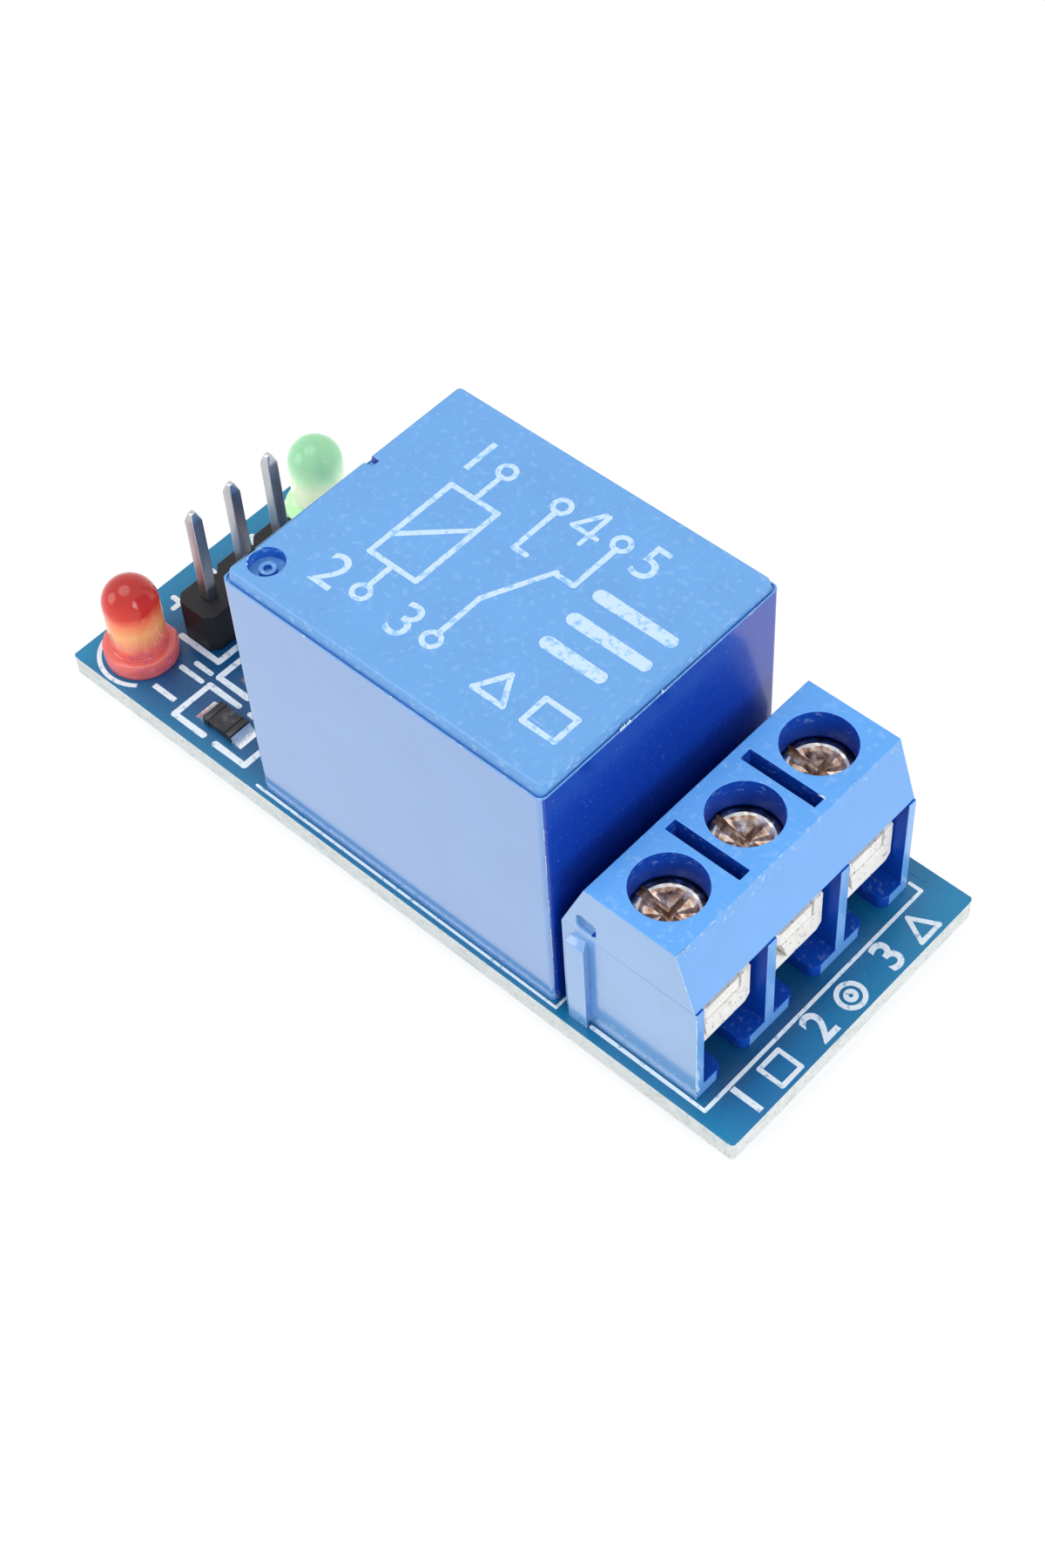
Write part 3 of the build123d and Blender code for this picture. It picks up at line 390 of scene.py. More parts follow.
looks = {
    "board": boardMask(),
    "solder": platedMetal(
        "solder", twoTone((0.94, 0.94, 0.93), (0.74, 0.75, 0.77)), 0.25, 0.5, metallic=0.8, depth=0.02),
    "relay_plastic": mouldedBlue("coverSide", coverSideLook),
    "terminal_plastic": mouldedBlue("blockSide", blockSideLook),
    "dark_plastic": darkPlastic(),
    "white_plastic": whitePlastic(),
    "magnet_steel": platedMetal(
        "magnetSteel", twoTone((0.66, 0.66, 0.66), (0.5, 0.5, 0.52)), 0.35, 0.6, (1, 4, 1)),
    "copper_wire": windingWire(),
    "contact_strip": platedMetal(
        "contactStrip", twoTone((0.8, 0.68, 0.45), (0.66, 0.54, 0.34)), 0.3, 0.4, (1, 3, 1)),
    "silver_contact": platedMetal(
        "silverContact", twoTone((0.85, 0.85, 0.84), (0.68, 0.68, 0.70)), 0.28, 0.3),
    "screw_zinc": platedMetal("screwZinc", passivation, 0.18, 0.6, depth=0.02),
    "clamp_nickel": platedMetal(
        "clampNickel", twoTone((0.98, 0.97, 0.92), (0.93, 0.90, 0.83)), 0.45, 0.8, metallic=0.0, pits=0.7,
        depth=0.02),
    "header_metal": platedMetal(
        "headerMetal", twoTone((0.68, 0.68, 0.69), (0.46, 0.47, 0.50)), 0.32, 0.6, (1, 1, 0.2)),
    "tinned_lead": platedMetal("tinnedLead", twoTone((0.80, 0.80, 0.80), (0.60, 0.61, 0.63)), 0.25, 0.3),
    "red_lens": lampEpoxy("redEpoxy", redLook),
    "green_lens": lampEpoxy("greenEpoxy", greenLook),
    "chip_body": chipCoating(),
    "diode_glass": diodeGlass(),
}
coverTones = [looks["relay_plastic"], mouldedBlue("coverTop", coverTopLook),
              mouldedBlue("coverEndPaintedShade", coverEndPaintedShadeLook), mouldedBlue("coverVentPaintedShade", coverVentPaintedShadeLook)]
coverSide, coverTop, coverEndPaintedShade, coverVentPaintedShade = range(4)
blockTones = [looks["terminal_plastic"], mouldedBlue("blockTop", blockTopLook),
              mouldedBlue("blockFront", blockFrontLook), mouldedBlue("blockPocketPaintedShade", blockPocketPaintedShadeLook),
              mouldedBlue("blockFloorPaintedShade", blockFloorPaintedShadeLook)]
blockSide, blockTop, blockFront, blockPocketPaintedShade, blockFloorPaintedShade = range(5)
# the second finish is a painted highlight for the dish's edge
screwTones = [looks["screw_zinc"],
              platedMetal("paintedHighlightRim", twoTone((1.0, 0.99, 0.96), (0.80, 0.80, 0.72)), 0.3, 0.35, metallic=0.3),
              platedMetal("screwRecess", tarnish, 0.25, 0.4, metallic=0.45)]
screwPaintedHighlight, screwBrown = 1, 2
laminate = laminateEdge()
legendInk = printInk("legendInk", (0.80, 0.89, 0.96), (0.10, 0.30, 0.48), 0.0)
coverInk = printInk("coverInk", (0.54, 0.72, 0.95), (0.13, 0.42, 0.86), 0.04)
flashPlastic = mouldedBlue("flashPlastic", flashLook)
print("materials ready:", len(bpy.data.materials))


# Mesh helpers
def inScene(name, data):
    made = bpy.data.objects.new(name, data)
    bpy.context.scene.collection.objects.link(made)
    return made


def meshFrom(name, bm):
    mesh = bpy.data.meshes.new(name)
    bm.to_mesh(mesh)
    bm.free()
    return mesh


def outwards(bm):
    bmesh.ops.recalc_face_normals(bm, faces=bm.faces)


def moved(bm, matrix):
    bmesh.ops.transform(bm, matrix=matrix, verts=bm.verts)


def makePiece(name, bm, slotName, replaced=(), finishes=None, body="board", sharp=35, weighted=False,
              repaired=False):
    if repaired:
        outwards(bm)
    mesh = meshFrom(name, bm)
    for finish in finishes or [looks[slotName]]:
        mesh.materials.append(finish)
    mesh.shade_smooth()
    mesh.set_sharp_from_angle(angle=sharp * degree)
    piece = inScene(name, mesh)
    if weighted:
        piece.modifiers.new("flat faces stay flat", "WEIGHTED_NORMAL").keep_sharp = True
    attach(piece, body)
    if replaced:
        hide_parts(*replaced)


def meshOf(node):
    bm = bmesh.new()
    bm.from_mesh(nodes[node].data)
    bmesh.ops.remove_doubles(bm, verts=bm.verts, dist=0.0005 * mm)
    return bm


def copyOf(node):
    bm = meshOf(node)
    bmesh.ops.dissolve_limit(bm, angle_limit=0.5 * degree, verts=bm.verts, edges=bm.edges)
    return bm


def soften(bm, width, chosen=lambda edge: True, segments=2, sharpest=25):
    edges = [e for e in bm.edges if len(e.link_faces) == 2
             and e.calc_face_angle(0) > sharpest * degree and chosen(e)]
    bmesh.ops.bevel(bm, geom=edges, offset=width * mm, offset_type="OFFSET", segments=segments,
                    profile=0.5, affect="EDGES", clamp_overlap=False, material=-1)


def softened(node, width, finishes=None, toneOf=None):
    bm = copyOf(node)
    soften(bm, width)
    if toneOf:
        for part in bm.faces:
            part.material_index = toneOf(part.calc_center_median() / mm, part.normal)
    makePiece(node + "_finished", bm, slotOf[node], (node,), finishes, bodyOf[node], weighted=True)


def join(bm, part, matrix=None):  # adds a finished part to bm
    if matrix:
        moved(part, matrix)
    mesh = meshFrom("part", part)
    bm.from_mesh(mesh)
    bpy.data.meshes.remove(mesh)


def shift(x, y, z=0.0):
    return Matrix.Translation(Vector((x, y, z)) * mm)


def turned(angle):
    return Matrix.Rotation(angle * degree, 4, "Z")


def spun(profile, steps=32, closed=False, sweep=360):  # profile is pairs of radius and height
    part = bmesh.new()
    corners = [part.verts.new((radius * mm, 0, height * mm)) for radius, height in profile]
    edges = [part.edges.new(pair) for pair in zip(corners, corners[1:])]
    if closed:
        edges.append(part.edges.new((corners[-1], corners[0])))
    bmesh.ops.spin(part, geom=corners + edges, cent=(0, 0, 0), axis=(0, 0, 1), dvec=(0, 0, 0),
                   angle=sweep * degree, steps=steps, use_merge=sweep == 360, use_duplicate=False)
    if sweep < 360:
        bmesh.ops.holes_fill(part, edges=part.edges, sides=len(profile))
    bmesh.ops.remove_doubles(part, verts=part.verts, dist=0.001 * mm)
    outwards(part)
    return part


def raisedBy(bm, faces, rise):  # extrudes the faces and returns the new vertices
    made = bmesh.ops.extrude_face_region(bm, geom=faces)["geom"]
    made = [v for v in made if isinstance(v, bmesh.types.BMVert)]
    bmesh.ops.translate(bm, vec=rise, verts=made)
    return made


# Printed strokes: each lies a hair higher than the one before, so that no two are level where they cross
sunk = 0.01
strokes = count()
strokeLift = 0.0001


def bar(bm, start, end, width, base, thick):  # a flat line with round ends
    run = Vector(end) - Vector(start)
    ring = bmesh.ops.create_circle(bm, cap_ends=True, segments=12, radius=width / 2 * mm)["verts"]
    for v in ring:
        if v.co.x > 0.001 * mm:
            v.co.x += run.length * mm
    rise = (0, 0, (thick + sunk + strokeLift * next(strokes)) * mm)
    raised = raisedBy(bm, [ring[0].link_faces[0]], rise)
    turn = Matrix.Rotation(math.atan2(run.y, run.x), 4, "Z")
    bmesh.ops.transform(bm, matrix=shift(start[0], start[1], base - sunk) @ turn, verts=ring + raised)


def line(bm, points, width, base, thick):
    for start, end in zip(points, points[1:]):
        bar(bm, start, end, width, base, thick)


def hoop(bm, place, radius, width, base, thick, start=0, sweep=360, steps=40):  # a flat ring or part of one
    inner, outer, roof = radius - width / 2, radius + width / 2, base + thick + strokeLift * next(strokes)
    foot = base - sunk
    part = spun([(inner, foot), (outer, foot), (outer, roof), (inner, roof)], steps, True, sweep)
    join(bm, part, shift(place[0], place[1]) @ turned(start))


def number(bm, text, place, size, base, thick, turn, weight):
    curve = bpy.data.curves.new("number", "FONT")
    curve.body = text
    curve.size = size * mm
    curve.offset = weight * mm
    curve.extrude = (thick + sunk) / 2 * mm
    curve.align_x = curve.align_y = "CENTER"
    holder = bpy.data.objects.new("number", curve)
    mesh = bpy.data.meshes.new_from_object(holder)
    mesh.transform(shift(place[0], place[1], base + (thick - sunk) / 2) @ turned(turn))
    bm.from_mesh(mesh)
    bpy.data.objects.remove(holder)
    bpy.data.meshes.remove(mesh)
    bpy.data.curves.remove(curve)


flashThick = 0.03


def ragged(bm, start, end, lean, reach, seed, step):  # torn moulding flash leaning out from an edge
    draw = random.Random(seed)
    start, end, lean = Vector(start), Vector(end), Vector(lean).normalized()
    part = bmesh.new()
    bmesh.ops.create_grid(part, x_segments=max(3, int((end - start).length / step)), y_segments=2, size=0.5)
    for v in part.verts:
        share, rise = min(1, max(0, v.co.x + 0.5)), v.co.y + 0.5
        jag = rise * reach * draw.random() ** 2 * math.sqrt(math.sin(math.pi * share) + 0.01)
        v.co = (start.lerp(end, share) + lean * (jag - flashThick)) * mm
    raisedBy(part, part.faces[:], (end - start).cross(lean).normalized() * flashThick * mm)
    outwards(part)
    join(bm, part)


# Board: mask above and below, bare laminate at the edges
boardLook = {"edgeSoft": 0.05, "reach": 0.01}


def finishBoard():
    bm = copyOf("circuit_board")
    edge = high("circuit_board") - Vector((1, 1, 0)) * boardLook["reach"]

    def outer(rim):
        return all(abs(v.co.x / mm) > edge.x or abs(v.co.y / mm) > edge.y for v in rim.verts)

    soften(bm, boardLook["edgeSoft"], outer)
    for part in bm.faces:
        part.material_index = 0 if abs(part.normal.z) > 0.9 else 1
    makePiece("board_finished", bm, "board", ("circuit_board",), [looks["board"], laminate], weighted=True)


finishBoard()
print("board done")

# Copper under the mask: raised runs above and below. The ones below may end at a joint.
traceLook = {
    "thick": 0.03, "skin": 0.008, "topThick": 0.015, "wide": 1.6, "thin": 0.4, "screwX": 12.5,
    "below": [
        ("wide", "screw1", (8.4, -6.5)), ("wide", "screw3", (8.4, 5.5)),
        ("wide", "screw2", (9.6, -0.4), (-5.8, -0.5)),
        ("thin", (-3.8, -6.5), (-8.0, -6.5), (-11.0, -3.6), "pin1"),
        ("thin", (-3.8, 5.5), (-9.0, 5.5), (-12.0, 2.6), "pin3"),
        ("thin", "pin2", (-13.0, -0.2), (-11.8, 1.0)),
        ("thin", (-19.0, -7.5), (-16.2, -7.5), (-13.4, -5.0)),
        ("thin", (-18.8, 7.7), (-15.5, 7.7), (-13.0, 5.4)),
        ("thin", (-19.0, -4.9), "pin1"), ("thin", (-18.8, 5.2), "pin3")],
    "above": [
        [(-14.7, -6.7), (-17.4, -6.7), (-18.3, -7.4)], [(-14.9, -3.65), (-16.4, -5.2), (-18.2, -5.2)],
        [(-14.9, 2.45), (-16.2, 4.4), (-17.9, 5.2)], [(-14.9, 5.5), (-16.4, 6.9), (-17.9, 7.4)],
        [(-9.9, -6.7), (-8.6, -7.9), (10.2, -7.9)],
        [(19.2, 8.1), (11.0, 8.1), (-9.0, 8.1), (-10.2, 6.6)]]}


def layTraces():
    bm = bmesh.new()
    joints = {f"screw{i}": (traceLook["screwX"], middle(f"terminal_screw_{i}").y) for i in range(1, 4)}
    joints |= {f"pin{i}": tuple(middle(f"header_pin_{i}").xy) for i in range(1, 4)}
    thick = traceLook["thick"]
    for width, *run in traceLook["below"]:
        points = [joints.get(point, point) for point in run]
        for start, end in zip(points, points[1:]):
            base = boardLow - thick - 3 * strokeLift * next(strokes)
            bar(bm, start, end, traceLook[width], base, thick - traceLook["skin"])
    for points in traceLook["above"]:
        line(bm, points, traceLook["thin"], boardTop, traceLook["topThick"])
    makePiece("board_traces", bm, "board", repaired=True)


layTraces()

# Print on the board: outlines, marks at the pins and lamps, a number and a shape at each terminal
legendLook = {
    "thick": 0.02, "width": 0.36, "fine": 0.2, "faint": 0.15, "pinStroke": 0.32, "dashWidth": 0.3,
    "header": [(-18.28, -4.18), (-15.56, -4.18), (-15.56, 3.9), (-18.28, 3.9)],
    "chipHalf": 1.2, "chipEnds": [(-14.8, -12.72), (-9.8, -11.86)], "relayGaps": (0.25, 0.2, 0.18, 0.3),
    "relayTurn": 0.5, "blockNear": 0.2, "block": (12.9, 18.85, 19.5, 7.41),
    "lampRing": 2.2, "ringWidth": 0.24, "lampArcs": [("red", 172, 138), ("green", 160, 140)],
    "pins": [[[(-20.5, 0), (-19.4, 0)], [(-19.95, -0.5), (-19.95, 0.5)]], [[(-20.5, 0), (-19.4, 0)]],
             [[(-20.5, -0.5), (-19.6, 0), (-20.5, 0.5)]]],
    "dashes": [[(-16.35, -4.95), (-15.3, -4.95)], [(-16.75, -5.6), (-15.3, -5.6)]],
    "numbers": [("1", (-16.1, -7.3)), ("2", (-15.7, 6.2))], "smallSize": 2.1, "markX": 20.6,
    "markShift": 1.15, "markHalf": 0.66, "markStroke": 0.25, "numberSize": 2.35, "numberShift": 1.05}


def lampCentre(colour):  # middle of the flange, which has a flat on its +Y side
    lowest, highest = low(f"{colour}_lamp_lens"), high(f"{colour}_lamp_lens")
    return Vector(((lowest.x + highest.x) / 2, lowest.y + (highest.x - lowest.x) / 2, 0))


def printLegend():
    bm = bmesh.new()
    look = legendLook
    thick = look["thick"]

    def draw(width, *points):
        line(bm, points, look[width], boardTop, thick)

    draw("width", *look["header"])
    for i in range(1, 4):
        y = middle(f"resistor_{i}").y
        under, over = y - look["chipHalf"], y + look["chipHalf"]
        for outer, gap in look["chipEnds"]:
            draw("width", (gap, under), (outer, under), (outer, over), (gap, over))
    left, right, near, far = look["relayGaps"]
    left, right, near, far = caseLow.x - left, caseHigh.x + right, caseLow.y - near, caseHigh.y + far
    draw("faint", (left, near), (right, near), (right, caseLow.y + look["relayTurn"]))
    draw("fine", (left, far), (right, far))
    left, inner, right, far = look["block"]
    near = low("terminal_cap").y - look["blockNear"]
    draw("fine", (left, near), (right, near), (right, far), (inner, far))
    for lamp, start, sweep in look["lampArcs"]:
        hoop(bm, lampCentre(lamp), look["lampRing"], look["ringWidth"], boardTop, thick, start, sweep)
    for i, marks in enumerate(look["pins"], 1):
        y = middle(f"header_pin_{i}").y
        for points in marks:
            draw("pinStroke", *((x, y + rise) for x, rise in points))
    for points in look["dashes"]:
        draw("dashWidth", *points)
    for text, place in look["numbers"]:
        number(bm, text, place, look["smallSize"], boardTop, thick, 90, 0.05)
    x, half, stroke = look["markX"], look["markHalf"], look["markStroke"]
    for i in range(1, 4):
        y = middle(f"terminal_screw_{i}").y
        number(bm, str(i), (x, y - look["numberShift"]), look["numberSize"], boardTop, thick, 90, 0.04)
        y += look["markShift"]
        first, last = y - half, y + half
        if i == 1:
            draw("markStroke", (x - half, first), (x + half, first), (x + half, last), (x - half, last),
                 (x - half, first))
        if i == 2:
            hoop(bm, (x, y), half, stroke, boardTop, thick)
            hoop(bm, (x, y), half * 0.35, stroke, boardTop, thick, steps=16)
        if i == 3:
            draw("markStroke", (x + half, first), (x + half, last), (x - half, y), (x + half, first))
    makePiece("board_legend", bm, "board", finishes=[legendInk], repaired=True)


printLegend()
print("legend done")

# Relay cover: top and ledge in the top tone; the vent recess's walls, the notch and the +X end wall darker as
# painted shade
coverLook = {"topSoft": 0.09, "rimSoft": 0.025, "inset": 0.3, "ledge": 0.55, "ventReach": 1.0,
             "ventDeep": 3.0, "notchY": 0.85, "notchHalf": 0.6, "notchDeep": 0.8, "notchTall": 1.6}
vent = Vector((caseLow.x + 1.27, caseLow.y + 1.68, caseHigh.z))


def finishRelay():
    bm = copyOf("relay_case")
    look = coverLook
    roof = (caseHigh.z - 0.01) * mm
    plateau = [v.co.copy() for v in bm.verts if v.co.z > roof]
    inset = look["inset"] * mm
    right, left = max(c.x for c in plateau) - inset, min(c.x for c in plateau) + inset
    back, near = max(c.y for c in plateau) - inset, min(c.y for c in plateau) + inset

    def plateauEdge(edge):
        return all(v.co.z > roof and (v.co.x > right or v.co.x < left or v.co.y > back or v.co.y < near)
                   for v in edge.verts)

    def other(edge):
        return not plateauEdge(edge) and all(v.co.z > (boardTop + 2) * mm for v in edge.verts)

    def toneOf(spot, normal):
        vented = (spot - vent).xy.length < look["ventReach"] and spot.z > vent.z - look["ventDeep"]
        notched = (spot.x < caseLow.x + look["notchDeep"] and spot.z > caseHigh.z - look["notchTall"]
                   and abs(spot.y - look["notchY"]) < look["notchHalf"])
        if normal.z > 0.15 and (vented or spot.z > caseHigh.z - look["ledge"] - 0.1):
            return coverTop
        # painted shade: vent walls, the notch and the +X end wall take the darker copies
        if vented:
            return coverVentPaintedShade
        if notched or normal.x > 0.7 and spot.x > caseHigh.x - 0.1:
            return coverEndPaintedShade
        return coverSide

    soften(bm, look["topSoft"], plateauEdge, segments=3)
    soften(bm, look["rimSoft"], other, sharpest=50)
    for part in bm.faces:
        part.material_index = toneOf(part.calc_center_median() / mm, part.normal)
    makePiece("relay_cover", bm, "relay_plastic", ("relay_case",), coverTones, weighted=True)


finishRelay()

# Flash on the cover: stretches along its rims and near corner, and round the vent
coverFlash = {
    "inset": 0.03, "reach": 0.09, "ventSunk": 0.04, "ventRadius": 0.87, "ventReach": 0.10, "ventTurn": 20,
    "endRim": [(-3.3, -2.5, 0.30), (-0.7, -0.15, 0.24), (2.2, 2.5, 0.14), (5.0, 5.3, 0.12),
               (-6.1, -5.8, 0.12)],
    "sideRim": [(2.0, 2.5), (6.2, 6.5), (-3.2, -2.9)],
    "corner": [(14.6, 15.4), (12.2, 13.6), (9.4, 10.4), (6.0, 8.2)],
    "ventAngles": [150, 172, 196, 220]}


def flashCover():
    bm = bmesh.new()
    look = coverFlash
    x, y, rim = caseHigh.x - look["inset"], caseLow.y + look["inset"], caseHigh.z - coverLook["ledge"]
    for seed, (start, end, reach) in enumerate(look["endRim"]):
        ragged(bm, (x, start, rim), (x, end, rim), (-0.5, 0.2, 0.8), reach, seed, 0.06)
    for seed, (start, end) in enumerate(look["sideRim"], 20):
        ragged(bm, (start, y, rim), (end, y, rim), (0, 0.4, 0.8), look["reach"], seed, 0.06)
    for seed, (start, end) in enumerate(look["corner"], 60):
        ragged(bm, (x, y, start), (x, y, end), (0.5, -0.5, 0), look["reach"], seed, 0.07)
    centre = vent - Vector((0, 0, look["ventSunk"]))
    for seed, angle in enumerate(look["ventAngles"], 40):
        start, end = (centre + Vector((math.cos(a * degree), math.sin(a * degree), 0)) * look["ventRadius"]
                      for a in (angle, angle + look["ventTurn"]))
        ragged(bm, start, end, (0.8, 0.3, 0.1), look["ventReach"], seed, 0.05)
    makePiece("relay_cover_flash", bm, "relay_plastic", finishes=[flashPlastic])


flashCover()
print("relay cover done")

# Print on the relay's top: a plain coil and change-over contact with numbers, plain fields and shapes
coverPrint = {
    "thick": 0.006, "width": 0.3, "fieldWidth": 0.75, "thin": 0.26, "pinRing": 0.42, "numberSize": 2.9,
    "circuit": [[(-5.2, -2.6), (-2.4, -2.6), (-2.4, 2.6), (-5.2, 2.6), (-5.2, -2.6)],
                [(-5.2, -1.3), (-2.4, 1.3)], [(-3.8, 2.6), (-3.8, 4.35)], [(-3.8, -2.6), (-3.8, -4.15)],
                [(0.4, -4.15), (0.4, -1.5), (1.9, 1.7)], [(-0.5, 4.35), (-0.5, 1.6), (0.2, 1.6)],
                [(3.0, 4.35), (3.0, 1.6), (1.9, 1.6)]],
    "pins": [(-3.8, 4.75), (-3.8, -4.55), (0.4, -4.55), (-0.5, 4.75), (3.0, 4.75)],
    "four": [[(1.35, 5.6), (0.55, 4.25), (1.95, 4.25)], [(1.55, 5.6), (1.55, 3.6)]],
    "numbers": [("1", -5.4, 4.6), ("2", -5.6, -4.6), ("3", -1.2, -4.6), ("5", 4.7, 4.6)],
    "fieldStart": 4.3, "fieldEnds": [8.2, 8.2, 7.2], "fieldTop": 1.9, "fieldPitch": 1.7,
    "shapes": [[(3.5, -5.3), (5.2, -5.3), (4.35, -3.8), (3.5, -5.3)],
               [(6.3, -5.3), (8.1, -5.3), (8.1, -3.8), (6.3, -3.8), (6.3, -5.3)]]}


def printCover():
    bm = bmesh.new()
    look = coverPrint
    spot, roof, thick = middle("relay_case"), caseHigh.z, look["thick"]

    def at(x, y):
        return (spot.x + x, spot.y + y)

    def draw(width, *points):
        line(bm, [at(*p) for p in points], look[width], roof, thick)

    for points in look["circuit"]:
        draw("width", *points)
    for pin in look["pins"]:
        hoop(bm, at(*pin), look["pinRing"], look["thin"], roof, thick, steps=24)
    for points in look["four"]:
        draw("thin", *points)
    for text, x, y in look["numbers"]:
        number(bm, text, at(x, y), look["numberSize"], roof, thick, 0, 0.01)
    for row, end in enumerate(look["fieldEnds"]):
        y = look["fieldTop"] - look["fieldPitch"] * row
        draw("fieldWidth", (look["fieldStart"], y), (end, y))
    for points in look["shapes"]:
        draw("width", *points)
    makePiece("relay_cover_print", bm, "relay_plastic", finishes=[coverInk], repaired=True)


printCover()
print("relay print done")

# Terminal block: outer walls paler as painted reflection, pockets and the floor under the cap darker as
# painted shade. Flash is along its top edge and down its near corner.
blockShape = {"baseSoft": 0.035, "capSoft": 0.045, "floor": 0.85, "wall": 0.15, "backWall": 1.5, "sill": 3.0}
blockFlash = {
    "step": 0.07, "fineStep": 0.06, "baseInset": 0.1, "cornerTall": 3.5, "slotY": 2.45, "slot": (16.9, 17.4),
    "topEdge": [(-7.85, -6.9, 0.22), (-5.6, -5.3, 0.2), (-2.6, -2.1, 0.2), (-1.2, -0.9, 0.12),
                (0.6, 0.8, 0.10), (3.8, 4.1, 0.12)]}


def finishTerminal():
    look = blockShape
    lowest, highest = low("terminal_cap"), high("terminal_cap")
    roof = (highest.z - 0.01) * mm
    flatFront = max(v.co.x for v in nodes["terminal_cap"].data.vertices if v.co.z > roof) / mm
    lean = (highest.x - flatFront) / (highest.z - lowest.z)
    front = high("terminal_base").x
    floor = boardTop + look["floor"]

    def capTone(spot, normal):
        if spot.z > highest.z - 0.06 and normal.z > 0.7:
            return blockTop
        if abs(spot.x - flatFront - (highest.z - spot.z) * lean) < 0.08 and normal.x > 0.3:
            return blockFront
        if spot.x < lowest.x + look["backWall"] and spot.z > look["sill"]:
            return blockSide
        # painted shade: faces inside the pockets take the darker copy
        return blockPocketPaintedShade if lowest.y + look["wall"] <= spot.y <= highest.y - look["wall"] else blockSide

    def baseTone(spot, normal):
        if spot.x > front - 0.06 and spot.z > floor:
            return blockFront
        if spot.y < lowest.y + 0.05 or spot.y > highest.y - 0.05:
            return blockSide
        # painted shade: the floor and the pockets take the darker copies
        return blockFloorPaintedShade if spot.z < floor else blockPocketPaintedShade

    softened("terminal_base", look["baseSoft"], blockTones, baseTone)
    softened("terminal_cap", look["capSoft"], blockTones, capTone)
    flash = blockFlash
    bm = bmesh.new()
    step, fineStep, roof = flash["step"], flash["fineStep"], highest.z
    for seed, (start, end, reach) in enumerate(flash["topEdge"]):
        ragged(bm, (flatFront, start, roof), (flatFront, end, roof), (0.5, 0, 0.5), reach, seed, step)
    capCorner, baseCorner = Vector((flatFront, lowest.y, roof)), Vector((front, lowest.y, lowest.z))
    sideways, upwards = Vector((-flash["baseInset"], 0, 0)), Vector((0, 0, boardTop - lowest.z))
    foot = baseCorner + Vector((0, 0, -flash["cornerTall"]))
    ragged(bm, capCorner, baseCorner + sideways, (0.4, -0.2, 0), 0.15, 31, step)
    ragged(bm, baseCorner, baseCorner + upwards, (0.3, -0.3, 0), 0.34, 32, step)
    ragged(bm, foot, baseCorner + upwards, (0.5, -0.1, 0), 0.30, 33, fineStep)
    start, end = ((x, flash["slotY"], roof) for x in flash["slot"])
    ragged(bm, start, end, (0.1, 0.6, 0.1), 0.14, 34, fineStep)
    makePiece("terminal_flash", bm, "terminal_plastic", finishes=[flashPlastic])


finishTerminal()

# Bars, header, chips and leads; the clamps are carried over with their crisp stamped edges
softSizes = {"contact_bar_": 0.02, "header_pin_": 0.05, "resistor_": 0.04, "header_housing": 0.06,
             "driver_transistor": 0.03, "relay_base": 0.05, "red_lamp_anode": 0.05, "red_lamp_cathode": 0.05,
             "green_lamp_anode": 0.05, "green_lamp_cathode": 0.05}
for prefix, width in softSizes.items():
    for node in sorted(name for name in nodes if name.startswith(prefix)):
        softened(node, width)
print("terminal, bars and small parts done")

# Screws: turned head with a slot and a cross in a pleated dish, threaded shank
screwLook = {
    "headTall": 1.0, "chamfer": 0.18, "rim": 0.42, "dish": 0.26, "pleats": 9, "pleatDepth": 0.12,
    "slotWidth": 0.5, "slotDepth": 0.45, "crossReach": 1.15, "crossWidth": 0.42, "crossDepth": 0.8,
    "crossTurn": 0.5, "brightWide": 0.14, "brightTall": 0.16, "shank": 1.25, "pitch": 0.45,
    "threadDepth": 0.18, "steps": 54, "threadSteps": 20}


def wedge(length, width, depth, roof, draft):  # a bar that narrows downwards
    part = bmesh.new()
    bmesh.ops.create_cube(part, size=1)
    for v in part.verts:
        share = 1 if v.co.z > 0 else draft
        height = (v.co.z - 0.5) * depth + roof + 0.02
        v.co = Vector((v.co.x * length * share, v.co.y * width * share, height)) * mm
    return part


def cutBy(bm, cutter):
    body = inScene("cut body", meshFrom("cut body", bm))
    tool = inScene("cut tool", meshFrom("cut tool", cutter))
    cut = body.modifiers.new("cut", "BOOLEAN")
    cut.operation = "DIFFERENCE"
    cut.solver = "EXACT"
    cut.object = tool
    bpy.context.view_layer.update()
    mesh = bpy.data.meshes.new_from_object(body.evaluated_get(bpy.context.evaluated_depsgraph_get()))
    made = bmesh.new()
    made.from_mesh(mesh)
    bpy.data.objects.remove(body)
    bpy.data.objects.remove(tool)
    bpy.data.meshes.remove(mesh)
    return made


def threadRidge(start, end, core, crest):  # one ridge wound round the shank
    part = bmesh.new()
    pitch, stepsPerTurn = screwLook["pitch"], screwLook["threadSteps"]
    steps = int((end - start - pitch) / pitch * stepsPerTurn)
    corners = [part.verts.new((r * mm, 0, (start + z) * mm)) for r, z in
               ((core, 0), (crest, 0.16), (crest, 0.22), (core, 0.38))]
    section = part.faces.new(corners)
    bmesh.ops.spin(part, geom=[section] + corners + list(section.edges), cent=(0, 0, 0), axis=(0, 0, 1),
                   dvec=(0, 0, pitch / stepsPerTurn * mm), angle=2 * math.pi * steps / stepsPerTurn,
                   steps=steps, use_merge=False, use_duplicate=False)
    outwards(part)
    return part


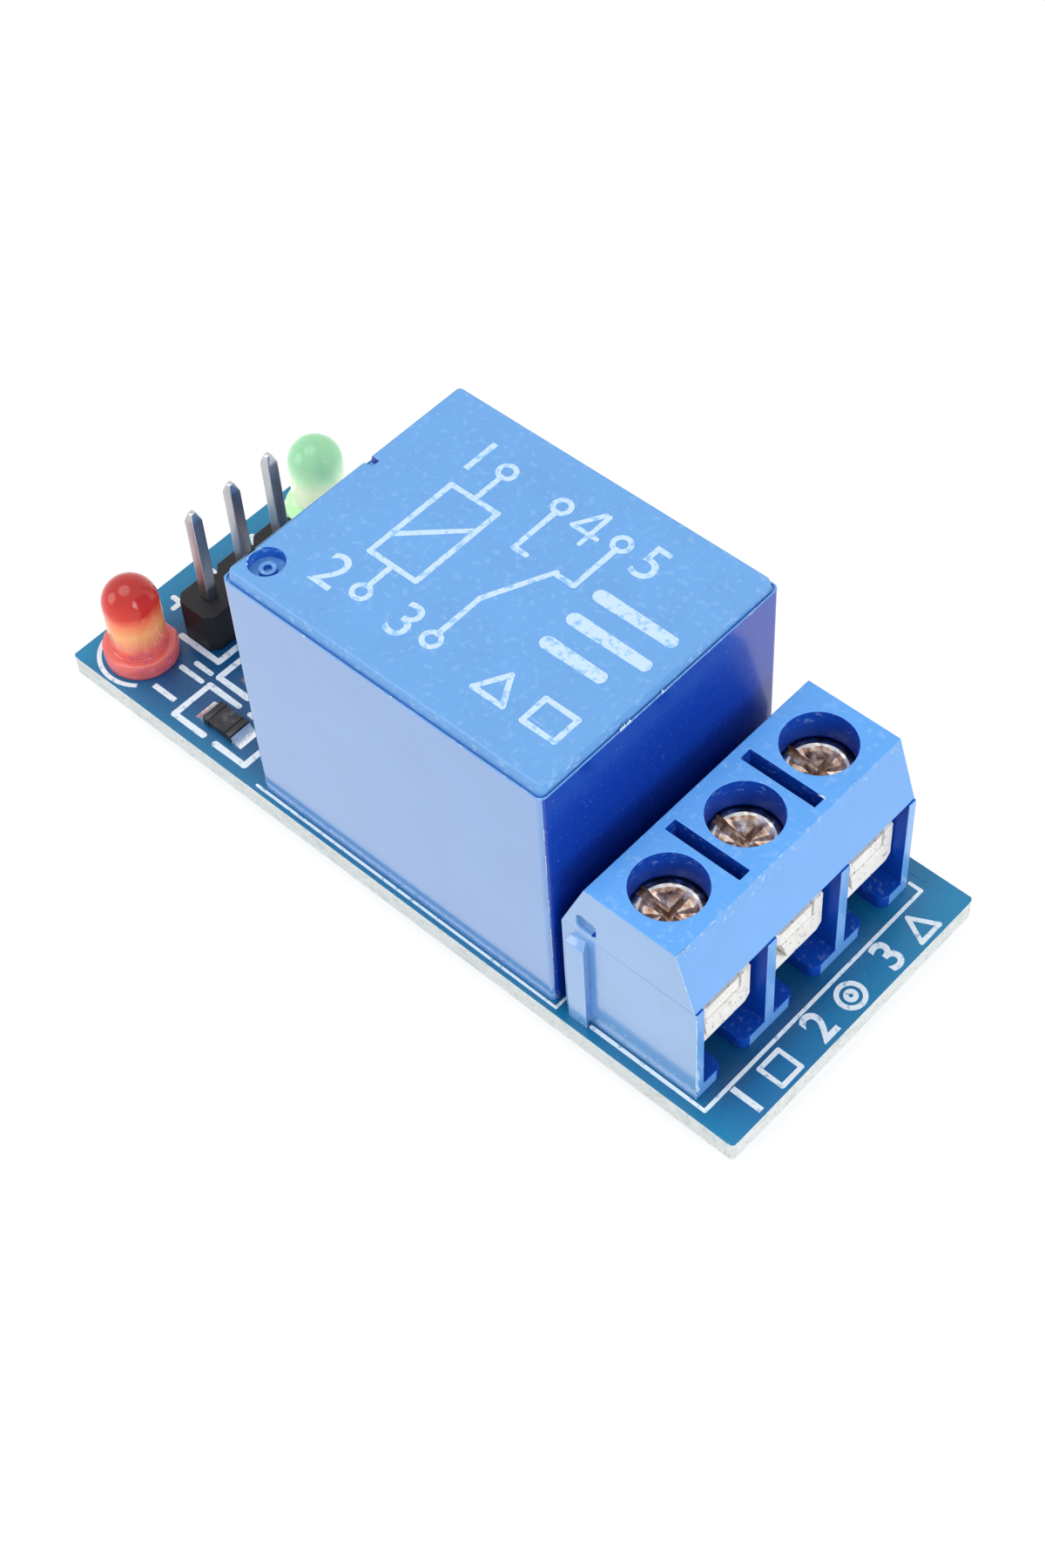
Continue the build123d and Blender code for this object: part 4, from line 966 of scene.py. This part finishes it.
def finishScrew(i):
    look = screwLook
    node = f"terminal_screw_{i}"
    lowest, highest, centre = low(node), high(node), middle(node)
    wide = (highest.x - lowest.x) / 2
    roof = highest.z
    under = roof - look["headTall"]
    chamfer, dish = look["chamfer"], look["dish"]
    core = look["shank"] - look["threadDepth"]
    rim = wide - look["rim"]
    profile = [(0, roof - dish - 0.03), (0.4, roof - dish), (0.8, roof - dish * 0.9),
               (rim - 0.3, roof - dish * 0.75), (rim - 0.13, roof - 0.06), (rim, roof),
               (wide - chamfer, roof)]
    profile += [(wide - chamfer * (1 - math.sin(a)), roof - chamfer * (1 - math.cos(a)))
                for a in (30 * degree, 60 * degree, 90 * degree)]
    profile += [(wide, under + 0.05), (wide - 0.05, under), (core, under),
                (core, lowest.z + 0.2), (core - 0.2, lowest.z), (0, lowest.z)]
    bm = spun(profile, look["steps"])
    for v in bm.verts:
        radius = v.co.xy.length / mm
        if v.co.z > (roof - dish - 0.1) * mm and 0.2 < radius < rim - 0.02:
            turn = math.atan2(v.co.y, v.co.x) / (2 * math.pi) * look["pleats"]
            v.co.z += look["pleatDepth"] * (abs(turn % 1 - 0.5) * 2 - 0.5) * mm * radius / rim
    bm = cutBy(bm, wedge(2 * wide + 0.4, look["slotWidth"], look["slotDepth"], roof, 1.0))
    for turn in (0, 90):
        arm = wedge(2 * look["crossReach"], look["crossWidth"], look["crossDepth"], roof, 0.45)
        moved(arm, turned(turn + look["crossTurn"]))
        bm = cutBy(bm, arm)
    for part in bm.faces:  # painted highlight: the dish's edge bright white; brown passivation inside it
        spot = part.calc_center_median() / mm
        radius, edge = spot.xy.length, rim - look["brightWide"]
        if spot.z > roof - look["brightTall"] and edge < radius < rim:
            part.material_index = screwPaintedHighlight
        elif spot.z > under + 0.1 and radius < edge:
            part.material_index = screwBrown
    join(bm, threadRidge(lowest.z + 0.25, under - 0.4, core - 0.02, look["shank"]))
    moved(bm, shift(centre.x, centre.y))
    makePiece(node + "_finished", bm, "screw_zinc", (node,), screwTones, bodyOf[node], sharp=18)


for i in range(1, 4):
    finishScrew(i)
print("screws done")

# Lamps: a dome on a flange with one flat
lampLook = {"steps": 48, "edge": 0.08, "domeRadius": 1.45, "flange": 1.0, "flat": 0.28, "fillet": 0.06}


def finishLamp(colour):
    look = lampLook
    node = f"{colour}_lamp_lens"
    lowest, highest = low(node), high(node)
    flange = (highest.x - lowest.x) / 2
    radius, edge, fillet = look["domeRadius"], look["edge"], look["fillet"]
    shoulder = boardTop + look["flange"]
    dome = highest.z - radius
    profile = [(0, boardTop), (flange - edge, boardTop), (flange, boardTop + edge), (flange, shoulder - edge),
               (flange - edge * 0.3, shoulder - edge * 0.3), (flange - edge, shoulder),
               (radius + fillet, shoulder), (radius, shoulder + fillet)]
    profile += [(radius * math.cos(a * degree), dome + radius * math.sin(a * degree))
                for a in range(0, 91, 9)]
    bm = spun(profile, look["steps"])
    cutter = bmesh.new()
    half = 2
    place = shift(0, flange - look["flat"] + half, shoulder - half + 0.001)
    bmesh.ops.create_cube(cutter, size=2 * half * mm, matrix=place)
    bm = cutBy(bm, cutter)
    moved(bm, shift(*lampCentre(colour)))
    makePiece(f"{colour}_lamp_dome", bm, f"{colour}_lens", (node,), sharp=40)


for colour in ("red", "green"):
    finishLamp(colour)
print("lamps done")

# Diode: glass tube between two rounded caps
capLong = 0.5


def finishDiode():
    lowest, highest = low("flyback_diode"), high("flyback_diode")
    radius = (highest.y - lowest.y) / 2
    half = (highest.x - lowest.x) / 2
    glass = half - capLong
    cap = [(0, -half), (radius - 0.12, -half), (radius - 0.03, -half + 0.04), (radius, -half + 0.13),
           (radius, -glass), (0, -glass)]
    caps = spun(cap)
    join(caps, spun([(r, -z) for r, z in cap]))
    inner, outer, end = radius - 0.1, radius - 0.06, glass - 0.08
    tube = spun([(0, -glass), (inner, -glass), (outer, -end), (outer, end), (inner, glass), (0, glass)])
    for part in (caps, tube):
        moved(part, shift(*middle("flyback_diode")) @ Matrix.Rotation(90 * degree, 4, "Y"))
    makePiece("diode_tube", tube, "diode_glass", ("flyback_diode",))
    makePiece("diode_caps", caps, "diode_glass", finishes=[looks["tinned_lead"]])


finishDiode()

# Solder cones under the board, with hollow sides and a cut tip
coneLook = {"wide": 0.88, "narrow": 0.3, "hollow": 1.8, "tip": 0.6, "tipEdge": 0.02, "steps": 20,
            "shares": (0, 0.08, 0.2, 0.35, 0.5, 0.65, 0.8, 0.92)}


def islands(node):  # middle of each separate solid of a node, seen from above
    bm = meshOf(node)
    seen, spots = set(), []
    for vert in bm.verts:
        found, queue = [], [vert]
        while queue:
            v = queue.pop()
            if v not in seen:
                seen.add(v)
                found.append(v.co / mm)
                queue += [e.other_vert(v) for e in v.link_edges]
        if found:
            xs, ys = [c.x for c in found], [c.y for c in found]
            spots.append(((min(xs) + max(xs)) / 2, (min(ys) + max(ys)) / 2))
    bm.free()
    return spots


def finishSolder():
    bm = bmesh.new()
    look = coneLook
    bottom = low("solder_joints").z
    tall = boardLow - bottom
    wide, narrow = look["wide"], look["narrow"]
    sides = [(narrow + (wide - narrow) * (1 - share) ** look["hollow"], boardLow - tall * share)
             for share in look["shares"]]
    profile = [(0, boardLow)] + sides + [(narrow * look["tip"], bottom + look["tipEdge"]), (0, bottom)]
    spots = islands("solder_joints")
    for x, y in spots:
        join(bm, spun(profile, look["steps"]), shift(x, y))
    makePiece("solder_cones", bm, "solder", ("solder_joints",), sharp=50)
    print("solder cones:", len(spots))


finishSolder()

# What stays as it is gets its finish on the object's own slots
for name, node in nodes.items():
    if not node.hide_render:
        if not node.data.materials:
            node.data.materials.append(None)
        for slot in node.material_slots:
            slot.link = "OBJECT"
            slot.material = looks[slotOf[name]]
print("carried-over nodes:", sum(not n.hide_render for n in nodes.values()))

# Studio, in metres: pale floor, white surroundings, soft lamps with a place, a size and a power
studio = {"floorSize": 6.0, "skyLight": 0.62, "floorColour": 0.8, "seenFloor": 0.22, "floorGlow": 0.85,
          "lamps": [("overhead", (-0.10, -0.06, 0.42), 0.34, 0.62),
                    ("side", (-0.30, -0.34, 0.20), 0.30, 0.50), ("front", (0.42, -0.06, 0.22), 0.30, 0.95)]}


def seenDirectly(graph):
    total = graph.node("ShaderNodeLightPath", output="Is Camera Ray")
    rays = total.socket.node.outputs
    for kind in ("Is Glossy Ray", "Is Transmission Ray"):
        total = total + Link(graph, rays[kind])
    return total.math("MINIMUM", total, 1.0)


def makeWorld():
    world = bpy.data.worlds.new("studio")
    world.use_nodes = True
    bpy.context.scene.world = world
    graph = Graph(world.node_tree)
    background = world.node_tree.nodes["Background"]
    background.inputs["Color"].default_value = (1, 1, 1, 1)
    strength = studio["skyLight"] + (1 - studio["skyLight"]) * seenDirectly(graph)
    graph.feed(background.inputs["Strength"], strength)


def makeFloor():
    bm = bmesh.new()
    bmesh.ops.create_grid(bm, x_segments=1, y_segments=1, size=studio["floorSize"] / 2)
    mesh = meshFrom("floor", bm)
    inScene("floor", mesh)
    material = bpy.data.materials.new("floor")
    material.use_nodes = True
    tree = material.node_tree
    tree.nodes.remove(tree.nodes["Principled BSDF"])
    graph = Graph(tree)
    pale = graph.node("ShaderNodeBsdfDiffuse", {"Color": (studio["floorColour"],) * 3})
    dim = graph.node("ShaderNodeBsdfDiffuse", {"Color": (studio["seenFloor"],) * 3})
    glow = graph.node("ShaderNodeEmission", {"Color": (1, 1, 1), "Strength": studio["floorGlow"]})
    shown = graph.node("ShaderNodeAddShader", {0: dim, 1: glow})
    mixed = graph.node("ShaderNodeMixShader", {0: seenDirectly(graph), 1: pale, 2: shown})
    graph.feed(tree.nodes["Material Output"].inputs["Surface"], mixed)
    mesh.materials.append(material)


def aim(thing, direction, roll=0):  # turns a lamp or camera to look along the direction
    thing.rotation_mode = "QUATERNION"
    thing.rotation_quaternion = direction.to_track_quat("-Z", "Y") @ Quaternion((0, 0, 1), -roll * degree)


def makeLamps():
    for name, place, size, power in studio["lamps"]:
        light = bpy.data.lights.new(name, "AREA")
        light.shape = "DISK"
        light.size = size
        light.energy = power
        lamp = inScene(name, light)
        lamp.location = place
        aim(lamp, -Vector(place))


makeWorld()
makeFloor()
makeLamps()
print("studio done")

# Camera at the photograph's angle
view = {"aim": (1.261, 0.052, 2.4), "distance": 125.6, "heading": -43.895, "elevation": 52.367, "roll": 4.503,
        "lens": 60.083}


def makeCamera():
    camera = inScene("camera", bpy.data.cameras.new("camera"))
    heading, elevation = view["heading"] * degree, view["elevation"] * degree
    back = Vector((math.cos(heading) * math.cos(elevation), math.sin(heading) * math.cos(elevation),
                   math.sin(elevation)))
    camera.data.lens = view["lens"]
    camera.data.clip_start = 0.005
    camera.data.clip_end = 20
    camera.location = (Vector(view["aim"]) + back * view["distance"]) * mm
    aim(camera, -back, view["roll"])
    bpy.context.scene.camera = camera


makeCamera()
bpy.context.scene.view_settings.view_transform = "Standard"
